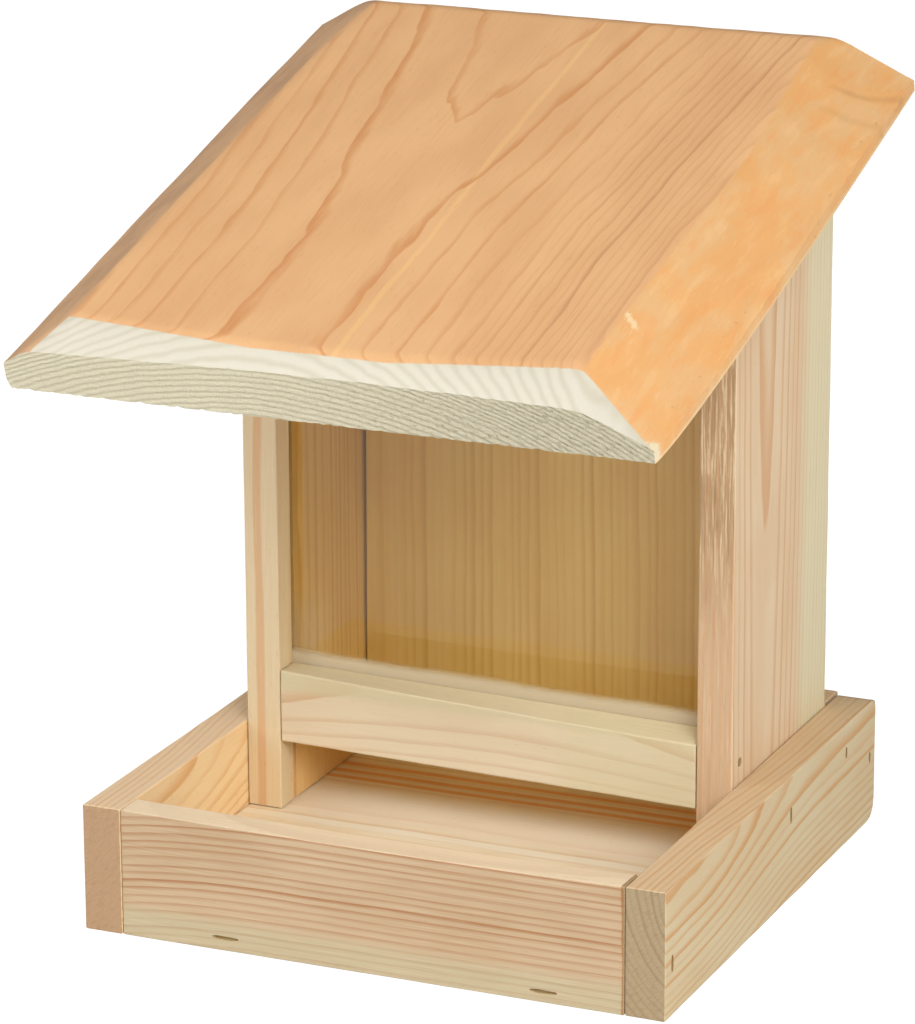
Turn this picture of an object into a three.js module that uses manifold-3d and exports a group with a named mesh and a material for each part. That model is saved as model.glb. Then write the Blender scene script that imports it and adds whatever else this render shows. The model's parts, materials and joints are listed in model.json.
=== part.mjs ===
// A wooden silo bird feeder: a low tray, a glazed seed hopper and a hinged plank roof.
// Millimetres. +X is right, +Y is back, +Z is up; the origin is the centre of the tray's underside.
import * as THREE from "three";
import Module from "manifold-3d";
import { RoundedBoxGeometry } from "three/addons/geometries/RoundedBoxGeometry.js";
import { mergeVertices } from "three/addons/utils/BufferGeometryUtils.js";

const wasm = await Module();
wasm.setup();

// ---- Fits ----
const JOINT_GAP = 0.3; // between two boards that meet
const HOLE_SLACK = 0.15; // around a driven fastener
const ARRIS = 1; // easing of the boards' edges
const TURN = Math.PI / 180;

// ---- Tray ----
const TRAY_WIDTH = 270;
const TRAY_DEPTH = 265;
const LIP_HEIGHT = 57.5;
const SIDE_LIP_THICK = 18;
const FRONT_LIP_THICK = 15.5;
const BACK_LIP_THICK = 18;
const BACK_LIP_RISE = 1; // how far the back lip stands above the side lips
const FLOOR_THICK = 17;
const FRONT_LIP_SAG = 1.2; // hollow worn in the front lip's top edge
const FRONT_LIP_SAG_X = 40;
const LIP_REAR_TOP_ROUND = 3.5;
const LIP_REAR_FOOT_ROUND = 9;

// ---- Hopper ----
const WALL_THICK = 16.5;
const WALL_SETBACK = 125.8; // tray's front face to the walls' front edges
const BACK_BOARD_THICK = 27;
const BACK_BOARD_INSET = 2.7; // from the walls' rear edges
const BACK_BOARD_FOOT_GAP = 1.2; // the board is a little narrow: open joint at its left, low down
const BACK_BOARD_HEAD_GAP = 2.4; // and at its top
const RAIL_THICK = 13;
const RAIL_HEIGHT = 31.8;
const RAIL_MIDDLE_Z = 63.7;
const RAIL_TILT = 1.1 * TURN; // right end low

// ---- Pane ----
const KERF_SETBACK = 13.2; // from the walls' front edges
const KERF_WIDTH = 3;
const KERF_DEPTH = 4.5;
const PANE_THICK = 2.4;
const PANE_FOOT_Z = 54;
const PANE_HEAD_GAP = 1; // under the roof
const PANE_SIDE_PLAY = 0.5; // at the bottom of each kerf
const PANE_ARRIS = 0.25;

// ---- Roof plank, measured in its own frame: across, up the slope, through its thickness ----
const ROOF_SLOPE = 15.45 * TURN;
const ROOF_WIDTH = 287.6;
const ROOF_LENGTH = 324.5;
const ROOF_THICK = 27;
const ROOF_OVERHANG = 38.3; // ahead of the tray
const ROOF_FRONT_Z = 253; // its lowest edge
const ROOF_BOW = 3; // outward bow of the right edge
const ROOF_BOW_REACH = 30; // how far up the slope the bow is fullest, as a curve handle

// Planed bevels. `run` is how far in from the edge the stroke starts, measured at `at` along the
// edge from its middle; `pitch` is its steepness and `skew` its turn in plan, in degrees.
const FRONT_STROKE = { at: 0, run: 11, pitch: 24.4, skew: 0 };
const FRONT_LEFT_STROKE = { at: -119, run: 19.2, pitch: 22.3, skew: -5.5 };
const FRONT_RIGHT_STROKE = { at: 106, run: 22, pitch: 16.3, skew: 7.8 };
const RIGHT_STROKE = { at: -60, run: 35.3, pitch: 29.5, skew: -1.1 };
const RIGHT_REAR_STROKE = { at: 124, run: 39, pitch: 28, skew: 4 };
const RIGHT_CORNER_STROKE = { at: -140, run: 37.5, pitch: 24.6, skew: -20.3 };
const REAR_STROKE = { at: 0, run: 7.8, pitch: 27.7, skew: 0 };
const LEFT_STROKE = { at: 0, run: 25.2, pitch: 33.3, skew: -0.7 };
const LEFT_REAR_STROKE = { at: -148, run: 31.5, pitch: 29.3, skew: -6 };

// ---- Hinges ----
const HINGE_X = 60;
const HINGE_LENGTH = 40;
const KNUCKLES = 5;
const KNUCKLE_GAP = 0.3;
const HINGE_PIN_R = 1.5;
const HINGE_PIN_SLACK = 0.08;
const LEAF_THICK = 1.1;
const LEAF_WIDTH = 15;
const PIN_HEAD_R = 2.3;
const PIN_HEAD_TALL = 0.9;
const HINGE_SCREW_X = 12; // either side of a hinge's middle
const HINGE_SCREW_REACH = 10; // from the hinge's axis
const ROUND_SIDES = 32;

// ---- Fasteners ----
const SCREW_R = 1.3;
const SCREW_LENGTH = 13;
const SCREW_POINT = 3;
const SCREW_SLOT_WIDE = 0.6;
const SCREW_SLOT_DEEP = 0.7;
const STAPLE_CROWN = 11.2;
const STAPLE_WIRE = 1.4;
const STAPLE_WIDE = 1.6;
const STAPLE_LEG = 30;
const STAPLE_POINT = 1.5;
const STAPLE_BEND = 0.9;
const STAPLE_SINK = 0.5;
const BRAD_HEAD_R = 1.5;
const BRAD_HEAD_TALL = 0.8;
const BRAD_R = 0.9;
const BRAD_LENGTH = 30;
const BRAD_SINK = 0.2;
const BRAD_Z = 67;
const BRAD_SETBACK = 9.7; // from the walls' front edges
const REST_R = 0.7; // the two small brads that the pane stands on
const REST_LENGTH = 14;
const REST_PROUD = 5;
const REST_X = 70;
const SMALL_SIDES = 12;

// ---- Where things come to ----
const trayFront = -TRAY_DEPTH / 2;
const trayBack = TRAY_DEPTH / 2;
const insideX = TRAY_WIDTH / 2 - SIDE_LIP_THICK;
const insideBack = trayBack - BACK_LIP_THICK;
const wallFront = trayFront + WALL_SETBACK;
const wallBack = insideBack - JOINT_GAP;
const wallOuterX = insideX - JOINT_GAP;
const wallInnerX = wallOuterX - WALL_THICK;
const floorTop = FLOOR_THICK + JOINT_GAP;
const kerfFront = wallFront + KERF_SETBACK;
const paneFront = kerfFront + (KERF_WIDTH - PANE_THICK) / 2;
const boardBack = wallBack - BACK_BOARD_INSET;
const roofFront = trayFront - ROOF_OVERHANG;
const knuckleR = HINGE_PIN_R + HINGE_PIN_SLACK + LEAF_THICK;
const hingeOffset = knuckleR + JOINT_GAP; // the hinge's axis from the back board and from the roof
const hingeY = boardBack + hingeOffset;
const hingeUp = (hingeY - roofFront - hingeOffset * Math.sin(ROOF_SLOPE)) / Math.cos(ROOF_SLOPE);
const hingeZ = ROOF_FRONT_Z + hingeUp * Math.sin(ROOF_SLOPE) - hingeOffset * Math.cos(ROOF_SLOPE);

const roofFrame = new THREE.Matrix4()
  .makeRotationX(ROOF_SLOPE)
  .setPosition(0, roofFront, ROOF_FRONT_Z);

const undersideZ = (y) => ROOF_FRONT_Z + (y - roofFront) * Math.tan(ROOF_SLOPE);

const RIGHT = new THREE.Vector3(1, 0, 0);
const BACK = new THREE.Vector3(0, 1, 0);
const UP = new THREE.Vector3(0, 0, 1);
const LEFT = RIGHT.clone().negate();
const FORE = BACK.clone().negate();
const DOWN = UP.clone().negate();

// ---- Solids ----
function solid(geometry) {
  const loose = geometry.index ? geometry.toNonIndexed() : geometry;
  const bare = new THREE.BufferGeometry();
  bare.setAttribute("position", loose.getAttribute("position"));
  const welded = mergeVertices(bare, 1e-4);
  const parts = {
    numProp: 3,
    vertProperties: welded.attributes.position.array,
    triVerts: new Uint32Array(welded.index.array),
  };
  return new wasm.Manifold(new wasm.Mesh(parts));
}

function geometryOf(body) {
  const { vertProperties, triVerts } = body.getMesh();
  const geometry = new THREE.BufferGeometry();
  geometry.setAttribute("position", new THREE.BufferAttribute(vertProperties, 3));
  geometry.setIndex(new THREE.BufferAttribute(triVerts, 1));
  const faceted = geometry.toNonIndexed();
  faceted.computeVertexNormals();
  return faceted;
}

const without = (body, cuts) => cuts.reduce((left, cut) => left.subtract(cut), body);
const joined = (bodies) => bodies.reduce((whole, body) => whole.add(body));

// A box by its two ends on each axis.
function block(x0, x1, y0, y1, z0, z1) {
  const box = new THREE.BoxGeometry(x1 - x0, y1 - y0, z1 - z0);
  return box.translate((x0 + x1) / 2, (y0 + y1) / 2, (z0 + z1) / 2);
}

// The same, with eased edges.
function easedBlock(x0, x1, y0, y1, z0, z1, ease = ARRIS) {
  const box = new RoundedBoxGeometry(x1 - x0, y1 - y0, z1 - z0, 1, ease);
  return box.translate((x0 + x1) / 2, (y0 + y1) / 2, (z0 + z1) / 2);
}

// An outline given thickness with eased faces, starting at zero and growing along local +Z.
function easedPlate(outline, thick, ease = ARRIS) {
  const plate = new THREE.ExtrudeGeometry(outline, {
    depth: thick - 2 * ease,
    bevelThickness: ease,
    bevelSize: ease,
    bevelOffset: -ease,
    bevelSegments: 1,
    curveSegments: 6,
  });
  return plate.translate(0, 0, ease);
}

// Outlines drawn in Y and Z grow along +X; outlines drawn in X and Z grow along -Y.
const sideways = new THREE.Matrix4().makeBasis(BACK, UP, RIGHT);
const frontways = new THREE.Matrix4().makeBasis(RIGHT, UP, FORE);

function cylinderAlongX(radius, length, x) {
  const rod = new THREE.CylinderGeometry(radius, radius, length, ROUND_SIDES);
  return rod.rotateZ(Math.PI / 2).translate(x, 0, 0);
}

// ---- Fasteners: each is made at its place, with the hole that it needs ----
function turned(points, sides) {
  const profile = points.map(([r, z]) => new THREE.Vector2(r, z));
  return new THREE.LatheGeometry(profile, sides).rotateX(Math.PI / 2);
}

// A round fastener whose head is at zero and whose shank points down.
function brad(slack, mouth) {
  const neck = -BRAD_HEAD_TALL - slack;
  const points = [
    [0, -BRAD_LENGTH - slack],
    [BRAD_R + slack, -BRAD_LENGTH + BRAD_R],
    [BRAD_R + slack, neck],
    [BRAD_HEAD_R + slack, neck],
    [BRAD_HEAD_R + slack, mouth],
    [0, mouth],
  ];
  return solid(turned(points, SMALL_SIDES));
}

function restPin(slack, mouth) {
  const points = [
    [0, -REST_LENGTH - slack],
    [REST_R + slack, -REST_LENGTH + REST_R],
    [REST_R + slack, mouth],
    [0, mouth],
  ];
  return solid(turned(points, SMALL_SIDES));
}

function screw(slack, mouth) {
  const headR = SCREW_R + LEAF_THICK;
  const points = [
    [0, -SCREW_LENGTH - slack],
    [SCREW_R + slack, -SCREW_LENGTH + SCREW_POINT],
    [SCREW_R + slack, -LEAF_THICK],
    [headR + slack, 0],
  ];
  if (mouth > 0) points.push([headR + slack, mouth]);
  points.push([0, mouth]);
  const body = solid(turned(points, SMALL_SIDES * 2));
  if (mouth > 0) return body;
  const slot = block(-headR, headR, -SCREW_SLOT_WIDE / 2, SCREW_SLOT_WIDE / 2, -SCREW_SLOT_DEEP, 1);
  return body.subtract(solid(slot));
}

function staple(slack, mouth) {
  const outer = STAPLE_CROWN / 2 + slack;
  const inner = STAPLE_CROWN / 2 - STAPLE_WIRE - slack;
  const tip = -STAPLE_LEG - slack;
  const bend = mouth > 0 ? 0 : STAPLE_BEND;
  const outline = new THREE.Shape();
  outline.moveTo(-outer, tip);
  outline.lineTo(-inner, tip + STAPLE_POINT);
  outline.lineTo(-inner, -STAPLE_WIRE - slack);
  outline.lineTo(inner, -STAPLE_WIRE - slack);
  outline.lineTo(inner, tip + STAPLE_POINT);
  outline.lineTo(outer, tip);
  outline.lineTo(outer, mouth - bend);
  if (bend) outline.quadraticCurveTo(outer, mouth, outer - bend, mouth);
  outline.lineTo(-outer + bend, mouth);
  if (bend) outline.quadraticCurveTo(-outer, mouth, -outer, mouth - bend);
  const wide = STAPLE_WIDE + 2 * slack;
  const wire = new THREE.ExtrudeGeometry(outline, {
    depth: wide,
    bevelEnabled: false,
    curveSegments: 3,
  });
  return solid(wire.translate(0, 0, -wide / 2).rotateX(Math.PI / 2));
}

// `into` is the way it was driven; `along` is the way its crown or its slot lies.
function driven(name, make, at, into, along, sink = 0) {
  const seat = at.clone().addScaledVector(into, sink);
  const up = into.clone().negate();
  const side = new THREE.Vector3().crossVectors(up, along);
  const frame = new THREE.Matrix4().makeBasis(along, side, up).setPosition(seat);
  const mouth = sink + 1;
  return {
    name,
    body: make(0, 0).transform(frame.elements),
    hole: make(HOLE_SLACK, mouth).transform(frame.elements),
  };
}

function stapleAt(name, x, y, z, into, along) {
  return driven(name, staple, new THREE.Vector3(x, y, z), into, along, STAPLE_SINK);
}

// Two through the front lip and two through the back lip, into the floor board's edges.
function lipStaples() {
  return [
    stapleAt("front_staple_left", -67.4, trayFront, 6, BACK, RIGHT),
    stapleAt("front_staple_right", 80.4, trayFront, 5.1, BACK, RIGHT),
    stapleAt("back_staple_left", -74, trayBack, 7.5, FORE, LEFT),
    stapleAt("back_staple_right", 71, trayBack, 8.2, FORE, LEFT),
  ];
}

// Four through each side lip: front lip's end, wall's foot twice, back lip's end.
function sideStaples(side, outward) {
  const x = (TRAY_WIDTH / 2) * outward.x;
  const into = outward.clone().negate();
  return [
    stapleAt(`${side}_staple_front`, x, trayFront + 8.2, 25, into, UP),
    stapleAt(`${side}_staple_wall_front`, x, trayFront + 152, 40.6, into, UP),
    stapleAt(`${side}_staple_wall_back`, x, trayFront + 225.1, 45.7, into, UP),
    stapleAt(`${side}_staple_back`, x, trayBack - 7.5, 32.6, into, UP),
  ];
}

// Two up through the floor board into the back board.
function footStaples() {
  const y = boardBack - BACK_BOARD_THICK / 2;
  return [
    stapleAt("foot_staple_left", -58, y, 0, UP, RIGHT),
    stapleAt("foot_staple_right", 61, y, 0, UP, RIGHT),
  ];
}

function railBrad(name, outward) {
  const at = new THREE.Vector3(wallOuterX * outward.x, wallFront + BRAD_SETBACK, BRAD_Z);
  return driven(name, brad, at, outward.clone().negate(), BACK, BRAD_SINK);
}

function paneRest(name, x) {
  const z = PANE_FOOT_Z - JOINT_GAP - REST_R;
  const at = new THREE.Vector3(x, wallFront + RAIL_THICK + REST_PROUD, z);
  return driven(name, restPin, at, FORE, RIGHT);
}

// The screws of one hinge: `reach` runs along the leaf, `into` the wood behind it.
function leafScrews(name, axis, reach, into) {
  const face = axis.clone().addScaledVector(into, knuckleR - LEAF_THICK);
  face.addScaledVector(reach, HINGE_SCREW_REACH);
  return ["a", "b"].map((mark, i) => {
    const at = face.clone().addScaledVector(RIGHT, i ? HINGE_SCREW_X : -HINGE_SCREW_X);
    return driven(`${name}_screw_${mark}`, screw, at, into, RIGHT, 0.05);
  });
}

// ---- Tray ----
function floorBoard() {
  const halfX = insideX - JOINT_GAP;
  const front = trayFront + FRONT_LIP_THICK + JOINT_GAP;
  return solid(easedBlock(-halfX, halfX, front, insideBack - JOINT_GAP, 0, FLOOR_THICK, ARRIS / 2));
}

function frontLip() {
  const halfX = insideX - JOINT_GAP;
  const outline = new THREE.Shape();
  outline.moveTo(-halfX, 0);
  outline.lineTo(halfX, 0);
  outline.lineTo(halfX, LIP_HEIGHT);
  outline.quadraticCurveTo(FRONT_LIP_SAG_X, LIP_HEIGHT - 2 * FRONT_LIP_SAG, -halfX, LIP_HEIGHT);
  const plate = easedPlate(outline, FRONT_LIP_THICK).applyMatrix4(frontways);
  return solid(plate.translate(0, trayFront + FRONT_LIP_THICK, 0));
}

function backLip() {
  const halfX = insideX - JOINT_GAP;
  return solid(easedBlock(-halfX, halfX, insideBack, trayBack, 0, LIP_HEIGHT + BACK_LIP_RISE));
}

// The rear corners of a side lip are rounded over, the lower one more.
function sideLip(startX) {
  const outline = new THREE.Shape();
  outline.moveTo(trayFront, 0);
  outline.lineTo(trayBack - LIP_REAR_FOOT_ROUND, 0);
  outline.quadraticCurveTo(trayBack, 0, trayBack, LIP_REAR_FOOT_ROUND);
  outline.lineTo(trayBack, LIP_HEIGHT - LIP_REAR_TOP_ROUND);
  outline.quadraticCurveTo(trayBack, LIP_HEIGHT, trayBack - LIP_REAR_TOP_ROUND, LIP_HEIGHT);
  outline.lineTo(trayFront, LIP_HEIGHT);
  return solid(easedPlate(outline, SIDE_LIP_THICK).applyMatrix4(sideways).translate(startX, 0, 0));
}

// ---- Hopper ----
// Everything above a plane one joint gap under the roof.
function roofSpace() {
  const far = 2 * ROOF_LENGTH;
  return solid(block(-far, far, -far, far, -JOINT_GAP, far).applyMatrix4(roofFrame));
}

const tall = undersideZ(trayBack) + ROOF_THICK;

function wall(outward) {
  const outer = wallOuterX * outward.x;
  const inner = wallInnerX * outward.x;
  const x0 = Math.min(outer, inner);
  const x1 = Math.max(outer, inner);
  const board = solid(easedBlock(x0, x1, wallFront, wallBack, floorTop, tall));
  const kerfFace = inner - outward.x;
  const kerfFloor = inner + KERF_DEPTH * outward.x;
  const k0 = Math.min(kerfFace, kerfFloor);
  const k1 = Math.max(kerfFace, kerfFloor);
  const kerf = solid(block(k0, k1, kerfFront, kerfFront + KERF_WIDTH, 0, tall));
  return without(board, [roofSpace(), kerf]);
}

// Its left edge is out of square, so the joint beside it opens towards the top.
function backBoard() {
  const right = wallInnerX - JOINT_GAP;
  const outline = new THREE.Shape();
  outline.moveTo(-wallInnerX + BACK_BOARD_FOOT_GAP, floorTop);
  outline.lineTo(right, floorTop);
  outline.lineTo(right, tall);
  outline.lineTo(-wallInnerX + BACK_BOARD_HEAD_GAP, tall);
  const plate = easedPlate(outline, BACK_BOARD_THICK, ARRIS / 2).applyMatrix4(frontways);
  return without(solid(plate.translate(0, boardBack, 0)), [roofSpace()]);
}

// Set out of level, with its ends cut plumb.
function feedRail() {
  const halfX = wallInnerX - JOINT_GAP;
  const drop = halfX * Math.tan(RAIL_TILT);
  const low = RAIL_MIDDLE_Z - RAIL_HEIGHT / 2;
  const high = RAIL_MIDDLE_Z + RAIL_HEIGHT / 2;
  const outline = new THREE.Shape();
  outline.moveTo(-halfX, low + drop);
  outline.lineTo(halfX, low - drop);
  outline.lineTo(halfX, high - drop);
  outline.lineTo(-halfX, high + drop);
  const plate = easedPlate(outline, RAIL_THICK).applyMatrix4(frontways);
  return solid(plate.translate(0, wallFront + RAIL_THICK, 0));
}

function pane() {
  const halfX = wallInnerX + KERF_DEPTH - PANE_SIDE_PLAY;
  const head = undersideZ(paneFront) - PANE_HEAD_GAP;
  const back = paneFront + PANE_THICK;
  return solid(easedBlock(-halfX, halfX, paneFront, back, PANE_FOOT_Z, head, PANE_ARRIS));
}

// ---- Roof ----
function plank() {
  const half = ROOF_WIDTH / 2;
  const outline = new THREE.Shape();
  outline.moveTo(-half, 0);
  outline.lineTo(half, 0);
  outline.quadraticCurveTo(half + 2 * ROOF_BOW, ROOF_BOW_REACH, half, ROOF_LENGTH);
  outline.lineTo(-half, ROOF_LENGTH);
  const blank = new THREE.ExtrudeGeometry(outline, {
    depth: ROOF_THICK,
    bevelEnabled: false,
    curveSegments: 12,
  });
  return solid(blank);
}

// What one planing stroke takes off, for an edge that is `quarter` turns round from the front.
function stroke(quarter, { at, run, pitch, skew }) {
  const deep = quarter % 2 ? ROOF_WIDTH / 2 : ROOF_LENGTH / 2;
  const far = 2 * ROOF_LENGTH;
  const shaving = block(-far, far, -far, far, 0, far);
  shaving.rotateX(pitch * TURN);
  shaving.rotateZ(skew * TURN);
  shaving.translate(at, run - deep, 0);
  shaving.rotateZ(quarter * 90 * TURN);
  return solid(shaving.translate(0, ROOF_LENGTH / 2, ROOF_THICK));
}

function roofPlank() {
  return without(plank(), [
    stroke(0, FRONT_STROKE),
    stroke(0, FRONT_LEFT_STROKE),
    stroke(0, FRONT_RIGHT_STROKE),
    stroke(1, RIGHT_STROKE),
    stroke(1, RIGHT_REAR_STROKE),
    stroke(1, RIGHT_CORNER_STROKE),
    stroke(2, REAR_STROKE),
    stroke(3, LEFT_STROKE),
    stroke(3, LEFT_REAR_STROKE),
  ]);
}

// ---- Hinges, made about their axis and then moved to it ----
const knucklePitch = HINGE_LENGTH / KNUCKLES;
const knuckleX = (i) => (i - (KNUCKLES - 1) / 2) * knucklePitch;

// A leaf: its plate, its own knuckles, and room for the other leaf's.
function leaf(plate, firstKnuckle) {
  const own = [];
  const others = [];
  for (let i = 0; i < KNUCKLES; i++) {
    const mine = i % 2 === firstKnuckle;
    const radius = mine ? knuckleR : knuckleR + KNUCKLE_GAP;
    const length = knucklePitch + (mine ? -KNUCKLE_GAP : KNUCKLE_GAP);
    (mine ? own : others).push(solid(cylinderAlongX(radius, length, knuckleX(i))));
  }
  const bore = solid(cylinderAlongX(HINGE_PIN_R + HINGE_PIN_SLACK, 2 * HINGE_LENGTH, 0));
  return joined([without(solid(plate), others), ...own]).subtract(bore);
}

function frameLeaf() {
  const half = (HINGE_LENGTH - KNUCKLE_GAP) / 2;
  const y = -knuckleR;
  return leaf(easedBlock(-half, half, y, y + LEAF_THICK, -LEAF_WIDTH, 0, LEAF_THICK / 4), 0);
}

function roofLeaf() {
  const half = (HINGE_LENGTH - KNUCKLE_GAP) / 2;
  const z = knuckleR;
  return leaf(easedBlock(-half, half, 0, LEAF_WIDTH, z - LEAF_THICK, z, LEAF_THICK / 4), 1);
}

function hingePin() {
  const half = HINGE_LENGTH / 2;
  const points = [
    [0, -half - PIN_HEAD_TALL],
    [PIN_HEAD_R * 0.7, -half - PIN_HEAD_TALL * 0.8],
    [PIN_HEAD_R, -half],
    [HINGE_PIN_R, -half],
    [HINGE_PIN_R, half],
    [PIN_HEAD_R, half],
    [PIN_HEAD_R * 0.7, half + PIN_HEAD_TALL * 0.8],
    [0, half + PIN_HEAD_TALL],
  ];
  return solid(turned(points, ROUND_SIDES).rotateY(Math.PI / 2));
}

// ---- Materials ----
const PINE = { color: 0xdcc59b, roughness: 0.85 };
const ROOF_PINE = { color: 0xc99f6a, roughness: 0.8 };
const PANE_PLASTIC = { color: 0xe8eef0, roughness: 0.05, transparent: true, opacity: 0.35 };
const ZINC_STEEL = { color: 0xa9a9a6, roughness: 0.4, metalness: 1 };

function part(name, body, look) {
  const mesh = new THREE.Mesh(geometryOf(body), new THREE.MeshStandardMaterial(look));
  mesh.name = name;
  return mesh;
}

// ---- The base: tray, hopper, pane, and the fixed half of each hinge ----
function base() {
  const group = new THREE.Group();
  group.name = "base";
  const hinges = ["left", "right"].map((side, i) => {
    const name = `hinge_${side}`;
    const axis = new THREE.Vector3(i ? HINGE_X : -HINGE_X, hingeY, hingeZ);
    return { name, axis, screws: leafScrews(`${name}_frame`, axis, DOWN, FORE) };
  });
  const fasteners = [
    ...lipStaples(),
    ...sideStaples("left", LEFT),
    ...sideStaples("right", RIGHT),
    ...footStaples(),
    railBrad("rail_brad_left", LEFT),
    railBrad("rail_brad_right", RIGHT),
    paneRest("pane_rest_left", -REST_X),
    paneRest("pane_rest_right", REST_X),
    ...hinges.flatMap((hinge) => hinge.screws),
  ];
  const holes = fasteners.map((fastener) => fastener.hole);
  const boards = {
    floor_board: floorBoard(),
    front_lip: frontLip(),
    back_lip: backLip(),
    left_lip: sideLip(-TRAY_WIDTH / 2),
    right_lip: sideLip(insideX),
    left_wall: wall(LEFT),
    right_wall: wall(RIGHT),
    back_board: backBoard(),
    feed_rail: feedRail(),
  };
  for (const [name, board] of Object.entries(boards)) {
    group.add(part(name, without(board, holes), PINE));
  }
  group.add(part("pane", pane(), PANE_PLASTIC));
  for (const { name, axis } of hinges) {
    const fixed = frameLeaf().translate(axis.toArray());
    group.add(part(`${name}_frame_leaf`, without(fixed, holes), ZINC_STEEL));
    group.add(part(`${name}_pin`, hingePin().translate(axis.toArray()), ZINC_STEEL));
  }
  for (const { name, body } of fasteners) group.add(part(name, body, ZINC_STEEL));
  return group;
}

// ---- The roof: the plank and the moving half of each hinge, laid out flat and then tilted ----
function roof() {
  const group = new THREE.Group();
  group.name = "roof";
  const hinges = ["left", "right"].map((side, i) => {
    const name = `hinge_${side}`;
    const axis = new THREE.Vector3(i ? HINGE_X : -HINGE_X, hingeUp, -hingeOffset);
    return { name, axis, screws: leafScrews(`${name}_roof`, axis, BACK, UP) };
  });
  const screws = hinges.flatMap((hinge) => hinge.screws);
  const holes = screws.map((fastener) => fastener.hole);
  group.add(part("roof_plank", without(roofPlank(), holes), ROOF_PINE));
  for (const { name, axis } of hinges) {
    const moving = roofLeaf().translate(axis.toArray());
    group.add(part(`${name}_roof_leaf`, without(moving, holes), ZINC_STEEL));
  }
  for (const { name, body } of screws) group.add(part(name, body, ZINC_STEEL));
  group.applyMatrix4(roofFrame);
  return group;
}

const feeder = new THREE.Group();
feeder.name = "silo_bird_feeder";
feeder.add(base(), roof());

export default feeder;
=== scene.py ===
"""Looks for a wooden silo bird feeder: bare pine boards, a clear pane and a hand-planed roof plank.

Everything is in metres in the feeder's own frame: +X right, +Y back, +Z up, and the origin at the
centre of the tray's underside. Sizes given in millimetres carry that in their names or notes.
"""

from __future__ import annotations

import functools
import itertools
import json
import logging
import math
from dataclasses import dataclass, field
from enum import Enum
from typing import Any, Callable, Iterable, Sequence

import bpy
from mathutils import Matrix, Vector, noise

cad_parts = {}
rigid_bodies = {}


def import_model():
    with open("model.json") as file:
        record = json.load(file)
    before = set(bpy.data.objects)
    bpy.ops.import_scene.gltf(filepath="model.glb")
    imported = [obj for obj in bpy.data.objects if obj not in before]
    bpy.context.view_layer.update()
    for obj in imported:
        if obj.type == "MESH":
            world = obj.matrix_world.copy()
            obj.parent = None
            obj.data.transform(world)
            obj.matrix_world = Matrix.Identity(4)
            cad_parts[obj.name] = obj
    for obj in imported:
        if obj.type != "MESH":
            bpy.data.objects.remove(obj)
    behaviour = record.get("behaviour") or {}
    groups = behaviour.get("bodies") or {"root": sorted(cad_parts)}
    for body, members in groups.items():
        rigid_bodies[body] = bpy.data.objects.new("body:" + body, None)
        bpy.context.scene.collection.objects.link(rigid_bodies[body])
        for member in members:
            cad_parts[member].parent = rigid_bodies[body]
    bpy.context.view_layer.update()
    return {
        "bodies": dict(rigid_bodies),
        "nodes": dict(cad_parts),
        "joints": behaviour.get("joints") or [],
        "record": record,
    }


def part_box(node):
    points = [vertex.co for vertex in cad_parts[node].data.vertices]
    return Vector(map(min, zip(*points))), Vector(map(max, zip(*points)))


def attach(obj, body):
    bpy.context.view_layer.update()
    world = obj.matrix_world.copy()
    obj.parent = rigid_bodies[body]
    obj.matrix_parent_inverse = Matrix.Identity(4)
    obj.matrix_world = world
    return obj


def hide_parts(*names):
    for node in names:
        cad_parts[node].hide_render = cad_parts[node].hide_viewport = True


LOG = logging.getLogger("feeder")

MM = 0.001
NOISE_SEED = 3

Colour = tuple[float, float, float]
Direction = tuple[float, float, float]

FRONT: Direction = (0.0, -1.0, 0.0)
BACKWARD: Direction = (0.0, 1.0, 0.0)
RIGHT: Direction = (1.0, 0.0, 0.0)
LEFT: Direction = (-1.0, 0.0, 0.0)
UP: Direction = (0.0, 0.0, 1.0)
DOWN: Direction = (0.0, 0.0, -1.0)


# -------- Node trees --------
def srgb(red: int, green: int, blue: int) -> Colour:
    """A display colour as the linear colour that shaders use.

    Args:
        red: From 0 to 255.
        green: The same.
        blue: The same.

    Returns:
        The linear colour.
    """
    shown = (value / 255 for value in (red, green, blue))
    return tuple(v / 12.92 if v <= 0.04045 else ((v + 0.055) / 1.055) ** 2.4 for v in shown)


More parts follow.
